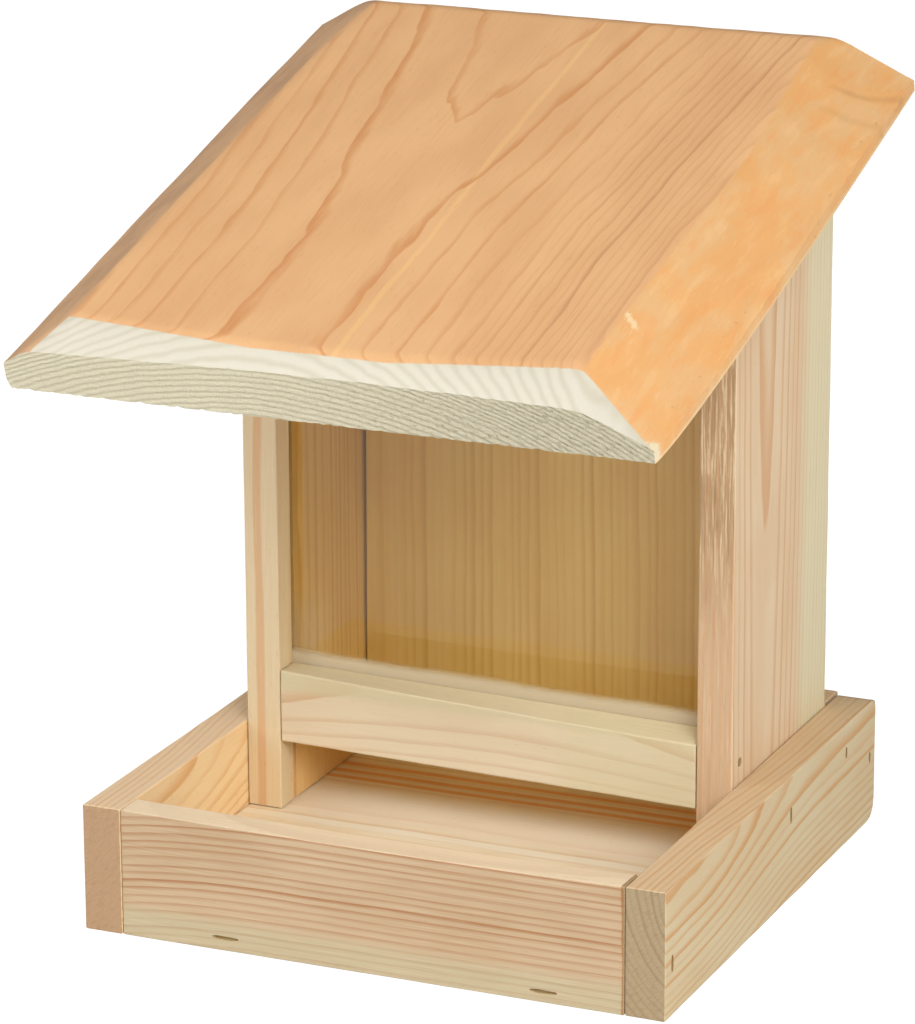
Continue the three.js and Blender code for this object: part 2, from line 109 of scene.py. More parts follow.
class Term:
    """A socket of a node tree, so that its maths reads as plain Python expressions."""

    def __init__(self, graph: Graph, socket: bpy.types.NodeSocket) -> None:
        """Wraps a socket.

        Args:
            graph: The tree that the socket is in.
            socket: The output that carries the value.
        """
        self.graph = graph
        self.socket = socket

    def _math(self, operation: str, *others: Any) -> Term:
        """A Math node on this and other numbers."""
        sockets = dict(enumerate((self, *others)))
        return self.graph.node("ShaderNodeMath", {"operation": operation}, sockets)

    __add__ = __radd__ = functools.partialmethod(_math, "ADD")
    __sub__ = functools.partialmethod(_math, "SUBTRACT")
    __mul__ = __rmul__ = functools.partialmethod(_math, "MULTIPLY")
    __truediv__ = functools.partialmethod(_math, "DIVIDE")
    __pow__ = functools.partialmethod(_math, "POWER")
    __abs__ = functools.partialmethod(_math, "ABSOLUTE")
    root = functools.partialmethod(_math, "SQRT")
    fraction = functools.partialmethod(_math, "FRACT")
    whole = functools.partialmethod(_math, "FLOOR")
    least = functools.partialmethod(_math, "MINIMUM")
    most = functools.partialmethod(_math, "MAXIMUM")
    over = functools.partialmethod(_math, "GREATER_THAN")

    def __rsub__(self, other: float) -> Term:
        """A number less this."""
        sockets = {0: other, 1: self}
        return self.graph.node("ShaderNodeMath", {"operation": "SUBTRACT"}, sockets)

    def step(self, start: float, end: float) -> Term:
        """A smooth rise from 0 at start to 1 at end; it falls where start is the larger.

        Args:
            start: Where the result is 0.
            end: Where the result is 1.

        Returns:
            The eased value.
        """
        settings = {"interpolation_type": "SMOOTHSTEP"}
        return self.graph.node("ShaderNodeMapRange", settings, {0: self, 1: start, 2: end})

    def dot(self, direction: Sequence[float]) -> Term:
        """The part of a vector that lies along a fixed direction."""
        sockets = {0: self, 1: tuple(direction)}
        return self.graph.node("ShaderNodeVectorMath", {"operation": "DOT_PRODUCT"}, sockets, "Value")


class Graph:
    """A node tree under construction."""

    def __init__(self, tree: bpy.types.NodeTree) -> None:
        """Takes up a tree.

        Args:
            tree: The tree.
        """
        self.tree = tree

    def node(
        self,
        kind: str,
        settings: dict[str, Any] | None = None,
        sockets: dict[int | str, Any] | None = None,
        out: int | str | None = None,
    ) -> Term:
        """Adds any node.

        Args:
            kind: The node's type.
            settings: Its own settings, made first.
            sockets: Values, terms or lists of terms for its inputs, by index or name.
            out: Which output to return; the first one in use if none is named.

        Returns:
            That output as a term.
        """
        made = self.tree.nodes.new(kind)
        for key, value in (settings or {}).items():
            setattr(made, key, value)
        for key, value in (sockets or {}).items():
            for one in value if isinstance(value, list) else [value]:
                self.feed(made.inputs[key], one)
        first = next(output for output in made.outputs if output.enabled)
        return Term(self, first if out is None else made.outputs[out])

    def feed(self, socket: bpy.types.NodeSocket, value: Any) -> None:
        """Links a term to an input, or sets the input to a value.

        Args:
            socket: The input.
            value: The term or the value.
        """
        if isinstance(value, Term):
            self.tree.links.new(value.socket, socket)
        elif socket.type == "RGBA" and len(value) == 3:
            socket.default_value = (*value, 1.0)
        else:
            socket.default_value = value

    def vector(self, x: Any, y: Any, z: Any) -> Term:
        """Three numbers as one vector."""
        return self.node("ShaderNodeCombineXYZ", None, {0: x, 1: y, 2: z})


class Recipe(Graph):
    """A node material under construction."""

    def __init__(self, name: str) -> None:
        """Starts an empty material with a surface output.

        Args:
            name: The material's name.
        """
        self.material = bpy.data.materials.new(name)
        self.material.use_nodes = True
        super().__init__(self.material.node_tree)
        self.tree.nodes.clear()
        self.output = self.tree.nodes.new("ShaderNodeOutputMaterial")

    def mix(self, amount: Any, first: Any, second: Any) -> Term:
        """Blends two colours.

        Args:
            amount: How much of the second.
            first: A colour or term.
            second: A colour or term.

        Returns:
            The blended colour.
        """
        settings = {"data_type": "RGBA", "blend_type": "MIX", "clamp_factor": True}
        return self.node("ShaderNodeMix", settings, {0: amount, 6: first, 7: second}, 2)

    def layered(self, base: Any, *layers: tuple[Any, Any]) -> Term:
        """Lays colours over one another.

        Args:
            base: The lowest colour.
            *layers: The ones above it in turn: how much of it, then the colour.

        Returns:
            What they make.
        """
        for amount, colour in layers:
            base = self.mix(amount, base, colour)
        return base

    def blend(self, amount: Any, first: Term, second: Term) -> Term:
        """Blends two shaders; the amount is that of the second."""
        return self.node("ShaderNodeMixShader", None, {0: amount, 1: first, 2: second})

    def noise(self, where: tuple[Any, Any, Any], detail: float = 2.0, roughness: float = 0.5) -> Term:
        """Smooth noise about a half, one feature to a unit.

        Args:
            where: The position's three numbers, already scaled.
            detail: Octaves.
            roughness: How strong the finer octaves are.

        Returns:
            The noise, mostly between 0.25 and 0.75.
        """
        sockets = {"Vector": self.vector(*where), "Scale": 1.0, "Detail": detail, "Roughness": roughness}
        return self.node("ShaderNodeTexNoise", None, sockets)

    def chance(self, index: Term) -> Term:
        """A fixed random number from 0 to 1 for each whole number."""
        return self.node("ShaderNodeTexWhiteNoise", {"noise_dimensions": "1D"}, {"W": index})

    def place(self) -> Term:
        """Where a point is, in metres."""
        return self.node("ShaderNodeTexCoord", None, None, "Object")

    def normal(self) -> Term:
        """The way the smooth surface looks there."""
        return self.node("ShaderNodeTexCoord", None, None, "Normal")

    def carried(self, name: str) -> Term:
        """A number that the mesh carries under a name."""
        return self.node("ShaderNodeAttribute", {"attribute_name": name}, None, "Fac")

    def surface(self, shader: Term) -> bpy.types.Material:
        """Makes a shader the material's surface, and returns the material."""
        self.tree.links.new(shader.socket, self.output.inputs["Surface"])
        return self.material

    def solid(self, sockets: dict[str, Any], relief: Term, depth: float) -> bpy.types.Material:
        """Finishes an opaque material.

        Args:
            sockets: Inputs of its Principled shader, by name.
            relief: The surface's height, from 0 to 1.
            depth: What a height of 1 measures, in metres.

        Returns:
            The material.
        """
        bump = {"Strength": 1.0, "Distance": depth, "Height": relief}
        sockets = {**sockets, "Normal": self.node("ShaderNodeBump", None, bump)}
        return self.surface(self.node("ShaderNodeBsdfPrincipled", None, sockets))


# -------- Finishes --------
@dataclass(frozen=True)
class FaceTone:
    """A face of a board with a tone of its own; some of these tones are painted light or shade.

    Attributes:
        towards: The way that the face looks.
        colour: Its tone.
        amount: How far it takes that tone, from 0 to 1.
        torn: How much pale torn fibre a saw left on it, from 0 to 1.
        above: It sets in over this height, in millimetres.
        rings: How clearly it shows the growth rings.
    """

    towards: tuple[float, float, float]
    colour: Colour
    amount: float = 0.7
    torn: float = 0.0
    above: float = -1000.0
    rings: float = 0.5


@dataclass(frozen=True)
class Stripe:
    """A streak of another tone that runs along a board; some streaks are painted light or shade.

    Attributes:
        axis: The direction in which its place is measured.
        at: That place, in millimetres.
        half: Half its width.
        colour: Its tone.
        amount: How strong it is, from 0 to 1.
    """

    axis: tuple[float, float, float]
    at: float
    half: float
    colour: Colour
    amount: float = 0.6


@dataclass(frozen=True)
class Pine:
    """The colours of one piece of pine.

    Attributes:
        early: Spring wood.
        warm: Spring wood where it is a little darker.
        late: Summer wood.
        sap: Sapwood.
        end: End grain.
        end_dark: End grain's rings and pits.
        end_rings: How clearly the end grain shows its rings.
        fibre: How strongly the fibres show.
        tones: Faces with a tone of their own, some of them painted light or shade.
        stripes: Streaks, some of them painted light or shade.
    """

    early: Colour = srgb(232, 205, 165)
    warm: Colour = srgb(228, 196, 154)
    late: Colour = srgb(214, 158, 104)
    sap: Colour = srgb(226, 214, 172)
    end: Colour = srgb(186, 164, 130)
    end_dark: Colour = srgb(150, 124, 92)
    end_rings: float = 0.6
    fibre: float = 0.2
    tones: tuple[FaceTone, ...] = ()
    stripes: tuple[Stripe, ...] = ()


class Turn(Enum):
    """Which way along a board its rings lean or bow from the place where that starts."""

    BOTH = "both"
    BEFORE = "before"
    AFTER = "after"


@dataclass(frozen=True)
class Grain:
    """How a board lay in its tree. Millimetres, about a point on the board's best face.

    Attributes:
        origin: That point, in metres.
        along: The way the grain runs.
        outward: The face's outward normal.
        pith_across: The tree's heart, across the face from the origin.
        pith_below: And under the face.
        ring: One year's growth.
        late_from: How far through a year the wood starts to darken.
        late_to: And where it is darkest.
        uneven: How much the years differ.
        lean: How fast the rings climb along the board.
        bow: How they curve along it, per millimetre squared.
        turn_at: Where along it the lean and the bow start.
        turn: Which side of that place they act on.
        ease: How softly they set in there.
        kink: How far the rings step away from the heart along the board.
        kink_span: From where to where along it they do.
        pinch: How much more pointed than round the rings are.
        core: Inside this radius the years are wider.
        squash: How much closer the rings lie through the board than across it.
        keen: How much thinner a ring's line gets where it meets the face flatly.
        clear: How dark the faintest year's late wood is, from 0 to 1.
        wobble: How far the rings wander.
        sap_from: Wood further than this from the heart is sapwood.
        phase: Shifts the rings, in years.
        seed: Shifts the noise.
    """

    origin: tuple[float, float, float]
    along: tuple[float, float, float]
    outward: tuple[float, float, float]
    pith_across: float
    pith_below: float
    ring: float
    late_from: float = 0.35
    late_to: float = 0.93
    uneven: float = 0.5
    lean: float = 0.0
    bow: float = 0.0
    turn_at: float = 0.0
    turn: Turn = Turn.BOTH
    ease: float = 30.0
    kink: float = 0.0
    kink_span: tuple[float, float] = (-1.0, 1.0)
    pinch: float = 0.0
    core: float = 0.0
    squash: float = 1.0
    keen: float = 0.0
    clear: float = 0.4
    wobble: float = 1.0
    sap_from: float = 1000.0
    phase: float = 0.0
    seed: float = 0.0


@dataclass(frozen=True)
class Cut:
    """How a board's growth shows at a point: millimetres, and masks from 0 to 1.

    Attributes:
        across: Place across the grain and along the face.
        deep: Place outward through the face.
        along: Place along the grain.
        year: Which growth ring, with its fraction.
        late: Summer wood.
        fibre: Long fine fibres.
        fleck: Short flecks.
        broad: Slow change from place to place.
        sap: Sapwood.
        end: End grain.
    """

    across: Term
    deep: Term
    along: Term
    year: Term
    late: Term
    fibre: Term
    fleck: Term
    broad: Term
    sap: Term
    end: Term


def coordinates(recipe: Recipe, grain: Grain) -> list[Term]:
    """Where a point is in a board's own directions.

    Args:
        recipe: The material.
        grain: How the board lay in its tree.

    Returns:
        Across the grain, outward through the face and along the grain, in millimetres.
    """
    place = recipe.place()
    start = Vector(grain.origin)
    along = Vector(grain.along).normalized()
    outward = Vector(grain.outward).normalized()
    axes = (along.cross(outward), outward, along)
    return [(place.dot(axis) - start.dot(axis)) * (1 / MM) for axis in axes]


def ring_radius(grain: Grain, across: Term, deep: Term, along: Term) -> tuple[Term, Term]:
    """The smooth shape of the rings, before they wander.

    Args:
        grain: How the board lay in its tree.
        across: Place across the grain, in millimetres.
        deep: Place through the face.
        along: Place along the grain.

    Returns:
        The distance from the tree's heart, and how squarely the rings meet the face.
    """
    sideways = across - grain.pith_across
    below = deep * grain.squash + grain.pith_below
    radius = (sideways * sideways + below * below).root()
    steep = abs(sideways) / radius + grain.pinch
    radius = radius + (sideways * sideways + 40).root() * grain.pinch
    turn = along - grain.turn_at
    if grain.turn is not Turn.BOTH:
        side = 1 if grain.turn is Turn.AFTER else -1
        turn = (turn + (turn * turn + grain.ease**2).root() * side) * 0.5
    radius = radius + turn * grain.lean + turn * turn * grain.bow
    if grain.kink:
        radius = radius + along.step(*grain.kink_span) * grain.kink
    return radius, steep


def ring_years(recipe: Recipe, grain: Grain, radius: Term, steep: Term) -> tuple[Term, Term]:
    """Counts the years outwards, and finds each one's summer wood.

    Args:
        recipe: The material.
        grain: How the board lay in its tree.
        radius: The distance from the tree's heart.
        steep: How squarely the rings meet the face.

    Returns:
        The year with its fraction, and the summer wood's mask.
    """
    year = radius * (1 / grain.ring) + grain.phase
    uneven = recipe.noise((year * 0.45, grain.seed, 0.0), 1.0)
    year = year + (uneven - 0.5) * (2 * grain.uneven)
    growth = year.fraction()
    strength = recipe.chance(year.whole()) * (1 - grain.clear) + grain.clear
    if grain.keen:
        thin = (steep * 1.6).least(1.0) ** grain.keen
        growth = 1 - (1 - growth) / thin
    late = growth.step(grain.late_from, grain.late_to) * growth.step(1.0, 0.94) * strength
    return year, late


def grain_masks(recipe: Recipe, grain: Grain) -> Cut:
    """Growth rings, fibres and end grain as a solid pattern through a board.

    Args:
        recipe: The material.
        grain: How the board lay in its tree.

    Returns:
        The masks.
    """
    across, deep, along = coordinates(recipe, grain)
    seed = grain.seed
    wander = recipe.noise((across * 0.014 + seed, deep * 0.014, along * 0.006 + seed), 1.0)
    shiver = recipe.noise((across * 0.09 + seed, deep * 0.09, along * 0.022), 2.0)
    broad = recipe.noise((across * 0.03, deep * 0.03 + seed, along * 0.012), 2.0)
    radius, steep = ring_radius(grain, across, deep, along)
    sap = (radius + (broad - 0.5) * 9).step(grain.sap_from - 7, grain.sap_from + 7)
    radius = radius + (wander - 0.5) * (2.4 * grain.wobble) + (shiver - 0.5) * (1.8 * grain.wobble)
    radius = radius + (grain.core - radius).most(0.0) * 0.3
    year, late = ring_years(recipe, grain, radius, steep)
    fibre = recipe.noise((across * 1.5 + seed, deep * 1.5, along * 0.03), 3.0, 0.6)
    fleck = recipe.noise((across * 2.2, deep * 2.2 + seed, along * 0.16), 1.0)
    end = abs(recipe.normal().dot(Vector(grain.along).normalized())).step(0.72, 0.92)
    return Cut(across, deep, along, year, late, fibre, fleck, broad, sap, end)


@dataclass
class BarePine:
    """Bare planed pine, as a material.

    Attributes:
        name: The material's name.
        grain: How the board lay in its tree.
        pine: Its colours.
    """

    name: str
    grain: Grain
    pine: Pine

    def __post_init__(self) -> None:
        """Starts the material and lays its grain."""
        self.recipe = Recipe(self.name)
        self.cut = grain_masks(self.recipe, self.grain)

    def ringed(self) -> Term:
        """The wood's own colour, with its rings and sapwood.

        Returns:
            The colour.
        """
        cut, pine = self.cut, self.pine
        return self.recipe.layered(
            pine.early,
            (cut.broad.step(0.35, 0.65), pine.warm),
            (cut.sap, pine.sap),
            (cut.late * (0.85 - cut.sap * 0.5), pine.late),
        )

    def toned(self, face: Term) -> tuple[Term, Any]:
        """Gives some faces a tone of their own; some of these tones are painted light or shade.

        Args:
            face: The colour so far.

        Returns:
            The new colour, and how torn the fibres are.
        """
        cut, recipe = self.cut, self.recipe
        torn: Any = 0.0
        for tone in self.pine.tones:
            height = recipe.place().dot(UP) * (1 / MM) + (cut.broad - 0.5) * 80
            facing = recipe.normal().dot(tone.towards).step(0.75, 0.93)
            facing = facing * height.step(tone.above - 40, tone.above + 40)
            tinted = recipe.mix(cut.late * tone.rings, tone.colour, self.pine.late)
            face = recipe.mix(facing * tone.amount, face, tinted)
            torn = facing * tone.torn + torn
        return face, torn

    def striped(self, face: Term) -> Term:
        """Lays the streaks.

        Args:
            face: The colour so far.

        Returns:
            The new colour.
        """
        place = self.recipe.place()
        for stripe in self.pine.stripes:
            away = place.dot(stripe.axis) * (1 / MM) - stripe.at + (self.cut.broad - 0.5) * 4
            mask = abs(away).step(stripe.half, stripe.half * 0.55) * stripe.amount
            face = self.recipe.mix(mask, face, stripe.colour)
        return face

    def worked(self, face: Term, shred: Term, torn: Any) -> Term:
        """Adds fibres, torn patches, flecks and pale worn edges.

        Args:
            face: The colour so far.
            shred: The pattern of torn fibre.
            torn: How torn the fibres are.

        Returns:
            The new colour.
        """
        cut, pine = self.cut, self.pine
        return self.recipe.layered(
            face,
            (cut.fibre.step(0.52, 0.74) * pine.fibre, pine.late),
            (cut.fibre.step(0.48, 0.28) * pine.fibre, srgb(244, 228, 196)),
            (shred.step(0.5, 0.62) * torn, srgb(233, 212, 176)),
            (shred.step(0.44, 0.34) * torn * 0.7, srgb(140, 106, 70)),
            (cut.fleck.step(0.71, 0.77) * 0.3, srgb(160, 112, 72)),
            (self.recipe.carried("edge").step(0.2, 1.0) * 0.25, srgb(240, 222, 190)),
        )

    def butt(self) -> tuple[Term, Term]:
        """Its end grain.

        Returns:
            The colour, and how rough the saw left it.
        """
        cut, pine = self.cut, self.pine
        where = (cut.across * 1.1, cut.deep * 1.1, cut.along * 0.4)
        pores = self.recipe.noise(where, 3.0, 0.7)
        where = ((cut.across + cut.deep) * 0.9, (cut.across - cut.deep) * 0.16, 0.0)
        tooth = self.recipe.noise(where, 2.0, 0.6)
        colour = self.recipe.layered(
            pine.end,
            (cut.late * pine.end_rings, pine.end_dark),
            (pores.step(0.5, 0.75) * 0.45, pine.end_dark),
            (tooth.step(0.48, 0.7) * 0.35, pine.end_dark),
        )
        return colour, pores * 1.2 + tooth * 1.5

    def material(self) -> bpy.types.Material:
        """Puts the finish together.

        Returns:
            The material.
        """
        cut, recipe = self.cut, self.recipe
        shred = recipe.noise((cut.across * 1.1, cut.deep * 1.1, cut.along * 0.04), 4.0, 0.7)
        face, torn = self.toned(self.ringed())
        face = self.worked(self.striped(face), shred, torn)
        butt, sawn = self.butt()
        stain = recipe.carried("stain") * 0.7
        sockets = {
            "Base Color": recipe.layered(face, (cut.end, butt), (stain, srgb(152, 118, 64))),
            "Roughness": 0.74 - cut.late * 0.1 + cut.end * 0.14,
            "Specular IOR Level": 0.2,
        }
        relief = cut.fibre * 0.5 + cut.late * 0.35 + shred * torn * 3.0 + sawn * cut.end
        return recipe.solid(sockets, relief, 0.12 * MM)


# -------- Meshes --------
@dataclass
class Shell:
    """Vertices and faces of one piece as it is made, in metres.

    Attributes:
        points: Its vertices.
        faces: The indices of each face's vertices.
        edge: How far into a worn edge each vertex is, from 0 to 1, where that is known.
    """

    points: list[Vector] = field(default_factory=list)
    faces: list[tuple[int, ...]] = field(default_factory=list)
    edge: list[float] = field(default_factory=list)

    def skin(self, last: Sequence[int], corner: Callable[[tuple[int, ...]], int]) -> None:
        """Adds the faces of a closed box of grid cells.

        Args:
            last: The highest grid number along each axis.
            corner: Gives the vertex at a place in the grid.
        """
        for axis, high in itertools.product(range(3), (False, True)):
            first, second = (axis + 1) % 3, (axis + 2) % 3
            for i, j in itertools.product(range(last[first]), range(last[second])):
                ring = []
                for di, dj in ((0, 0), (1, 0), (1, 1), (0, 1)):
                    spot = [last[axis] if high else 0] * 3
                    spot[first], spot[second] = i + di, j + dj
                    ring.append(corner(tuple(spot)))
                self.faces.append(tuple(ring if high else reversed(ring)))

    def finish(self, name: str, smooth_degrees: float = 38.0) -> bpy.types.Object:
        """Makes the object.

        Args:
            name: The piece's name.
            smooth_degrees: Faces that meet more sharply than this keep a crisp edge.

        Returns:
            The object, linked to the scene.
        """
        mesh = bpy.data.meshes.new(name)
        mesh.from_pydata([tuple(p) for p in self.points], [], self.faces)
        if self.edge:
            layer = mesh.attributes.new("edge", "FLOAT", "POINT")
            layer.data.foreach_set("value", self.edge)
        mesh.validate()
        mesh.shade_smooth()
        mesh.set_sharp_from_angle(angle=math.radians(smooth_degrees))
        piece = bpy.data.objects.new(name, mesh)
        bpy.context.scene.collection.objects.link(piece)
        return piece


def stations(low: float, high: float, ease: float, cell: float) -> list[float]:
    """Grid lines across a board: close together in its eased edges, even between them.

    Args:
        low: One side.
        high: The other.
        ease: How wide the eased edge is.
        cell: The largest step between.

    Returns:
        The lines, in order.
    """
    inner = max(1, math.ceil((high - low - 2 * ease) / cell))
    rim = [0.0, ease * 0.35, ease * 0.7]
    middle = [low + ease + (high - low - 2 * ease) * i / inner for i in range(inner + 1)]
    return [low + r for r in rim] + middle + [high - r for r in reversed(rim)]


@dataclass(frozen=True)
class Block:
    """A planed board as a box with worn edges and a slight hand-made unevenness.

    Attributes:
        low: Its lowest corner, in metres.
        high: Its highest corner.
        ease: The widest its eased edge gets.
        wave: How far its faces wander.
        seed: Shifts the noise.
    """

    low: Vector
    high: Vector
    ease: float = 1.1 * MM
    wave: float = 0.18 * MM
    seed: float = 0.0

    def shell(self, bend: Callable[[Vector], Vector] | None = None, cell: float = 9 * MM) -> Shell:
        """Builds the skin.

        Args:
            bend: Moves each finished point, for a sloped end or a hollow edge.
            cell: The largest step of the grid.

        Returns:
            The closed skin.
        """
        lines = [stations(self.low[i], self.high[i], self.ease, cell) for i in range(3)]
        made = Shell()

        @functools.cache
        def corner(spot: tuple[int, ...]) -> int:
            """Adds the vertex at a place in the grid, once."""
            point, worn = self.settle(Vector(line[i] for line, i in zip(lines, spot)))
            made.points.append(bend(point) if bend else point)
            made.edge.append(worn)
            return len(made.points) - 1

        made.skin([len(line) - 1 for line in lines], corner)
        return made

    def settle(self, raw: Vector) -> tuple[Vector, float]:
        """Rounds a point on the box over the worn edge and lets the face wander.

        Args:
            raw: A point on the plain box.

        Returns:
            Where it goes, and how far into the worn edge it is, from 0 to 1.
        """
        drift = noise.noise(raw * 45 + Vector((self.seed, 0, 0)))
        reach = self.ease * (0.68 + 0.3 * drift)
        core = Vector(
            min(max(raw[i], self.low[i] + reach), self.high[i] - reach) for i in range(3)
        )
        away = raw - core
        if away.length < 1e-9:
            return raw, 0.0
        point = core + away.normalized() * reach
        worn = (away.length - reach) / (reach * 0.42)
        wander = noise.noise_vector(raw * 14 + Vector((self.seed, self.seed, 0)))
        return point - away.normalized() * abs(wander.x) * self.wave, min(max(worn, 0), 1)


def carve(piece: bpy.types.Object, cutters: Iterable[bpy.types.Object]) -> bpy.types.Object:
    """Cuts other solids out of a piece, and removes them.

    Args:
        piece: What is cut.
        cutters: What is taken away.

    Returns:
        The piece, with a plain mesh.
    """
    for cutter in cutters:
        modifier = piece.modifiers.new("cut", "BOOLEAN")
        modifier.operation = "DIFFERENCE"
        modifier.solver = "EXACT"
        modifier.object = cutter
    settled(piece)
    piece.data.set_sharp_from_angle(angle=math.radians(38))
    for cutter in list(cutters):
        bpy.data.objects.remove(cutter)
    return piece


def settled(piece: bpy.types.Object) -> bpy.types.Object:
    """Turns a piece's modifiers into its mesh.

    Args:
        piece: The piece.

    Returns:
        The same piece.
    """
    graph = bpy.context.evaluated_depsgraph_get()
    graph.update()
    mesh = bpy.data.meshes.new_from_object(piece.evaluated_get(graph), depsgraph=graph)
    piece.modifiers.clear()
    old = piece.data
    piece.data = mesh
    mesh.name = piece.name
    bpy.data.meshes.remove(old)
    return piece


def box_cutter(low: Sequence[float], high: Sequence[float]) -> bpy.types.Object:
    """A plain solid to cut with.

    Args:
        low: Its lowest corner.
        high: Its highest corner.

    Returns:
        The cutter.
    """
    (x0, y0, z0), (x1, y1, z1) = low, high
    shell = Shell(
        points=[Vector((x, y, z)) for x in (x0, x1) for y in (y0, y1) for z in (z0, z1)],
        faces=[(0, 1, 3, 2), (4, 6, 7, 5), (0, 4, 5, 1), (2, 3, 7, 6), (0, 2, 6, 4), (1, 5, 7, 3)],
    )
    return shell.finish("cutter")


@dataclass(frozen=True)
class Dent:
    """The dent that a driven fastener leaves. Millimetres.

    Attributes:
        long: Its length.
        wide: Its width.
        deep: Its depth under the fastener's end.
        past: How far its middle lies past the fastener's, against the way the crown lies.
    """

    long: float
    wide: float
    deep: float = 1.0
    past: float = 0.0


@dataclass(frozen=True)
class Fastening:
    """How a fastener sits in its board.

    Attributes:
        place: The middle of its outer end, in metres.
        outward: The way that end looks.
        lies: The way its crown lies.
    """

    place: Vector
    outward: Vector
    lies: Vector

    @classmethod
    def read(cls, node: str, outward: Sequence[float], length: float) -> Fastening:
        """Takes a fastener's place from its solid.

        Args:
            node: The solid.
            outward: The way its outer end looks.
            length: How long it is, in metres.

        Returns:
            The place.
        """
        low, high = corners(node)
        out = Vector(outward).normalized()
        size = high - low
        widest = max((i for i in range(3) if abs(out[i]) < 0.5), key=lambda i: size[i])
        lies = Vector(1.0 if i == widest else 0.0 for i in range(3))
        lies = (lies - out * lies.dot(out)).normalized()
        return cls((low + high) / 2 + out * length / 2, out, lies)

    def gouge(self, dent: Dent, seed: float) -> bpy.types.Object:
        """A ragged solid that cuts a dent.

        Args:
            dent: The dent's sizes.
            seed: Shifts the noise.

        Returns:
            The cutter, whose faces carry a stain.
        """
        count = 22
        shell = Shell()
        across = self.outward.cross(self.lies)
        middle = self.place - self.lies * (dent.past * MM)
        for height, grown in ((-dent.deep * MM, 0.75), (1.2 * MM, 1.1)):
            for i in range(count):
                angle = math.tau * i / count
                ragged = 1 + 0.45 * noise.noise(Vector((i * 0.9, seed * 3.1, height * 200)))
                x = math.copysign(abs(math.cos(angle)) ** 0.45, math.cos(angle)) * dent.long * MM / 2
                y = math.copysign(abs(math.sin(angle)) ** 0.8, math.sin(angle)) * dent.wide * MM / 2
                offset = (self.lies * x + across * (y * ragged)) * grown + self.outward * height
                shell.points.append(middle + offset)
        shell.faces.append(tuple(reversed(range(count))))
        shell.faces.append(tuple(range(count, 2 * count)))
        for i in range(count):
            j = (i + 1) % count
            shell.faces.append((i, j, count + j, count + i))
        cutter = shell.finish("gouge")
        stain = cutter.data.attributes.new("stain", "FLOAT", "FACE")
        stain.data.foreach_set("value", [1.0] * len(shell.faces))
        return cutter


class Tree(Graph):
    """A Geometry Nodes tree that builds one shape at every point of a mesh."""

    def __init__(self, name: str, sizes: dict[str, float]) -> None:
        """Starts the tree.

        Args:
            name: Its name.
            sizes: Its named inputs, in metres.
        """
        super().__init__(bpy.data.node_groups.new(name, "GeometryNodeTree"))
        self.sizes = sizes
        self.keys: dict[str, str] = {}
        face = self.tree.interface
        for way in ("INPUT", "OUTPUT"):
            face.new_socket("Geometry", in_out=way, socket_type="NodeSocketGeometry")
        for label in sizes:
            socket = face.new_socket(label, in_out="INPUT", socket_type="NodeSocketFloat")
            self.keys[label] = socket.identifier
        self.start = self.tree.nodes.new("NodeGroupInput")
        self.end = self.tree.nodes.new("NodeGroupOutput")

    def given(self, label: str) -> Term:
        """A named input."""
        return Term(self, self.start.outputs[label])

    def moved(self, shape: Term, up: Any) -> Term:
        """A shape moved along its own Z."""
        sockets = {"Geometry": shape, "Translation": self.vector(0.0, 0.0, up)}
        return self.node("GeometryNodeTransform", None, sockets)

    def plant(self, shape: Term, steel: bpy.types.Material, tilt: float) -> None:
        """Puts the shape at every point, a little askew, and ends the tree.

        Args:
            shape: The shape, with its outer end at the origin and looking along +Z.
            steel: Its material.
            tilt: How far askew it may be, in radians.
        """
        kind = {"data_type": "QUATERNION"}
        turn = self.node("GeometryNodeInputNamedAttribute", kind, {"Name": "turn"})
        sockets = {"Points": self.given("Geometry"), "Instance": shape, "Rotation": turn}
        many = self.node("GeometryNodeInstanceOnPoints", None, sockets)
        span = {0: (-tilt,) * 3, 1: (tilt,) * 3, "Seed": 7}
        askew = self.node("FunctionNodeRandomValue", {"data_type": "FLOAT_VECTOR"}, span)
        rocked = self.node("GeometryNodeRotateInstances", None, {"Instances": many, "Rotation": askew})
        real = self.node("GeometryNodeRealizeInstances", None, {"Geometry": rocked})
        done = self.node("GeometryNodeSetMaterial", None, {"Geometry": real, "Material": steel})
        self.feed(self.end.inputs["Geometry"], done)

    def grow(self, name: str, places: Sequence[Fastening]) -> bpy.types.Object:
        """Runs the tree on a list of places.

        Args:
            name: The piece's name.
            places: Where each shape goes.

        Returns:
            The piece, with a plain mesh.
        """
        mesh = bpy.data.meshes.new(name)
        mesh.from_pydata([tuple(p.place) for p in places], [], [])
        turns: list[float] = []
        for p in places:
            axes = Matrix((p.lies, p.outward.cross(p.lies), p.outward)).transposed()
            turns.extend(axes.to_quaternion())
        mesh.attributes.new("turn", "QUATERNION", "POINT").data.foreach_set("value", turns)
        piece = bpy.data.objects.new(name, mesh)
        bpy.context.scene.collection.objects.link(piece)
        modifier = piece.modifiers.new("grow", "NODES")
        modifier.node_group = self.tree
        for label, size in self.sizes.items():
            modifier[self.keys[label]] = size
        settled(piece)
        piece.data.shade_smooth()
        piece.data.set_sharp_from_angle(angle=math.radians(35))
        return piece


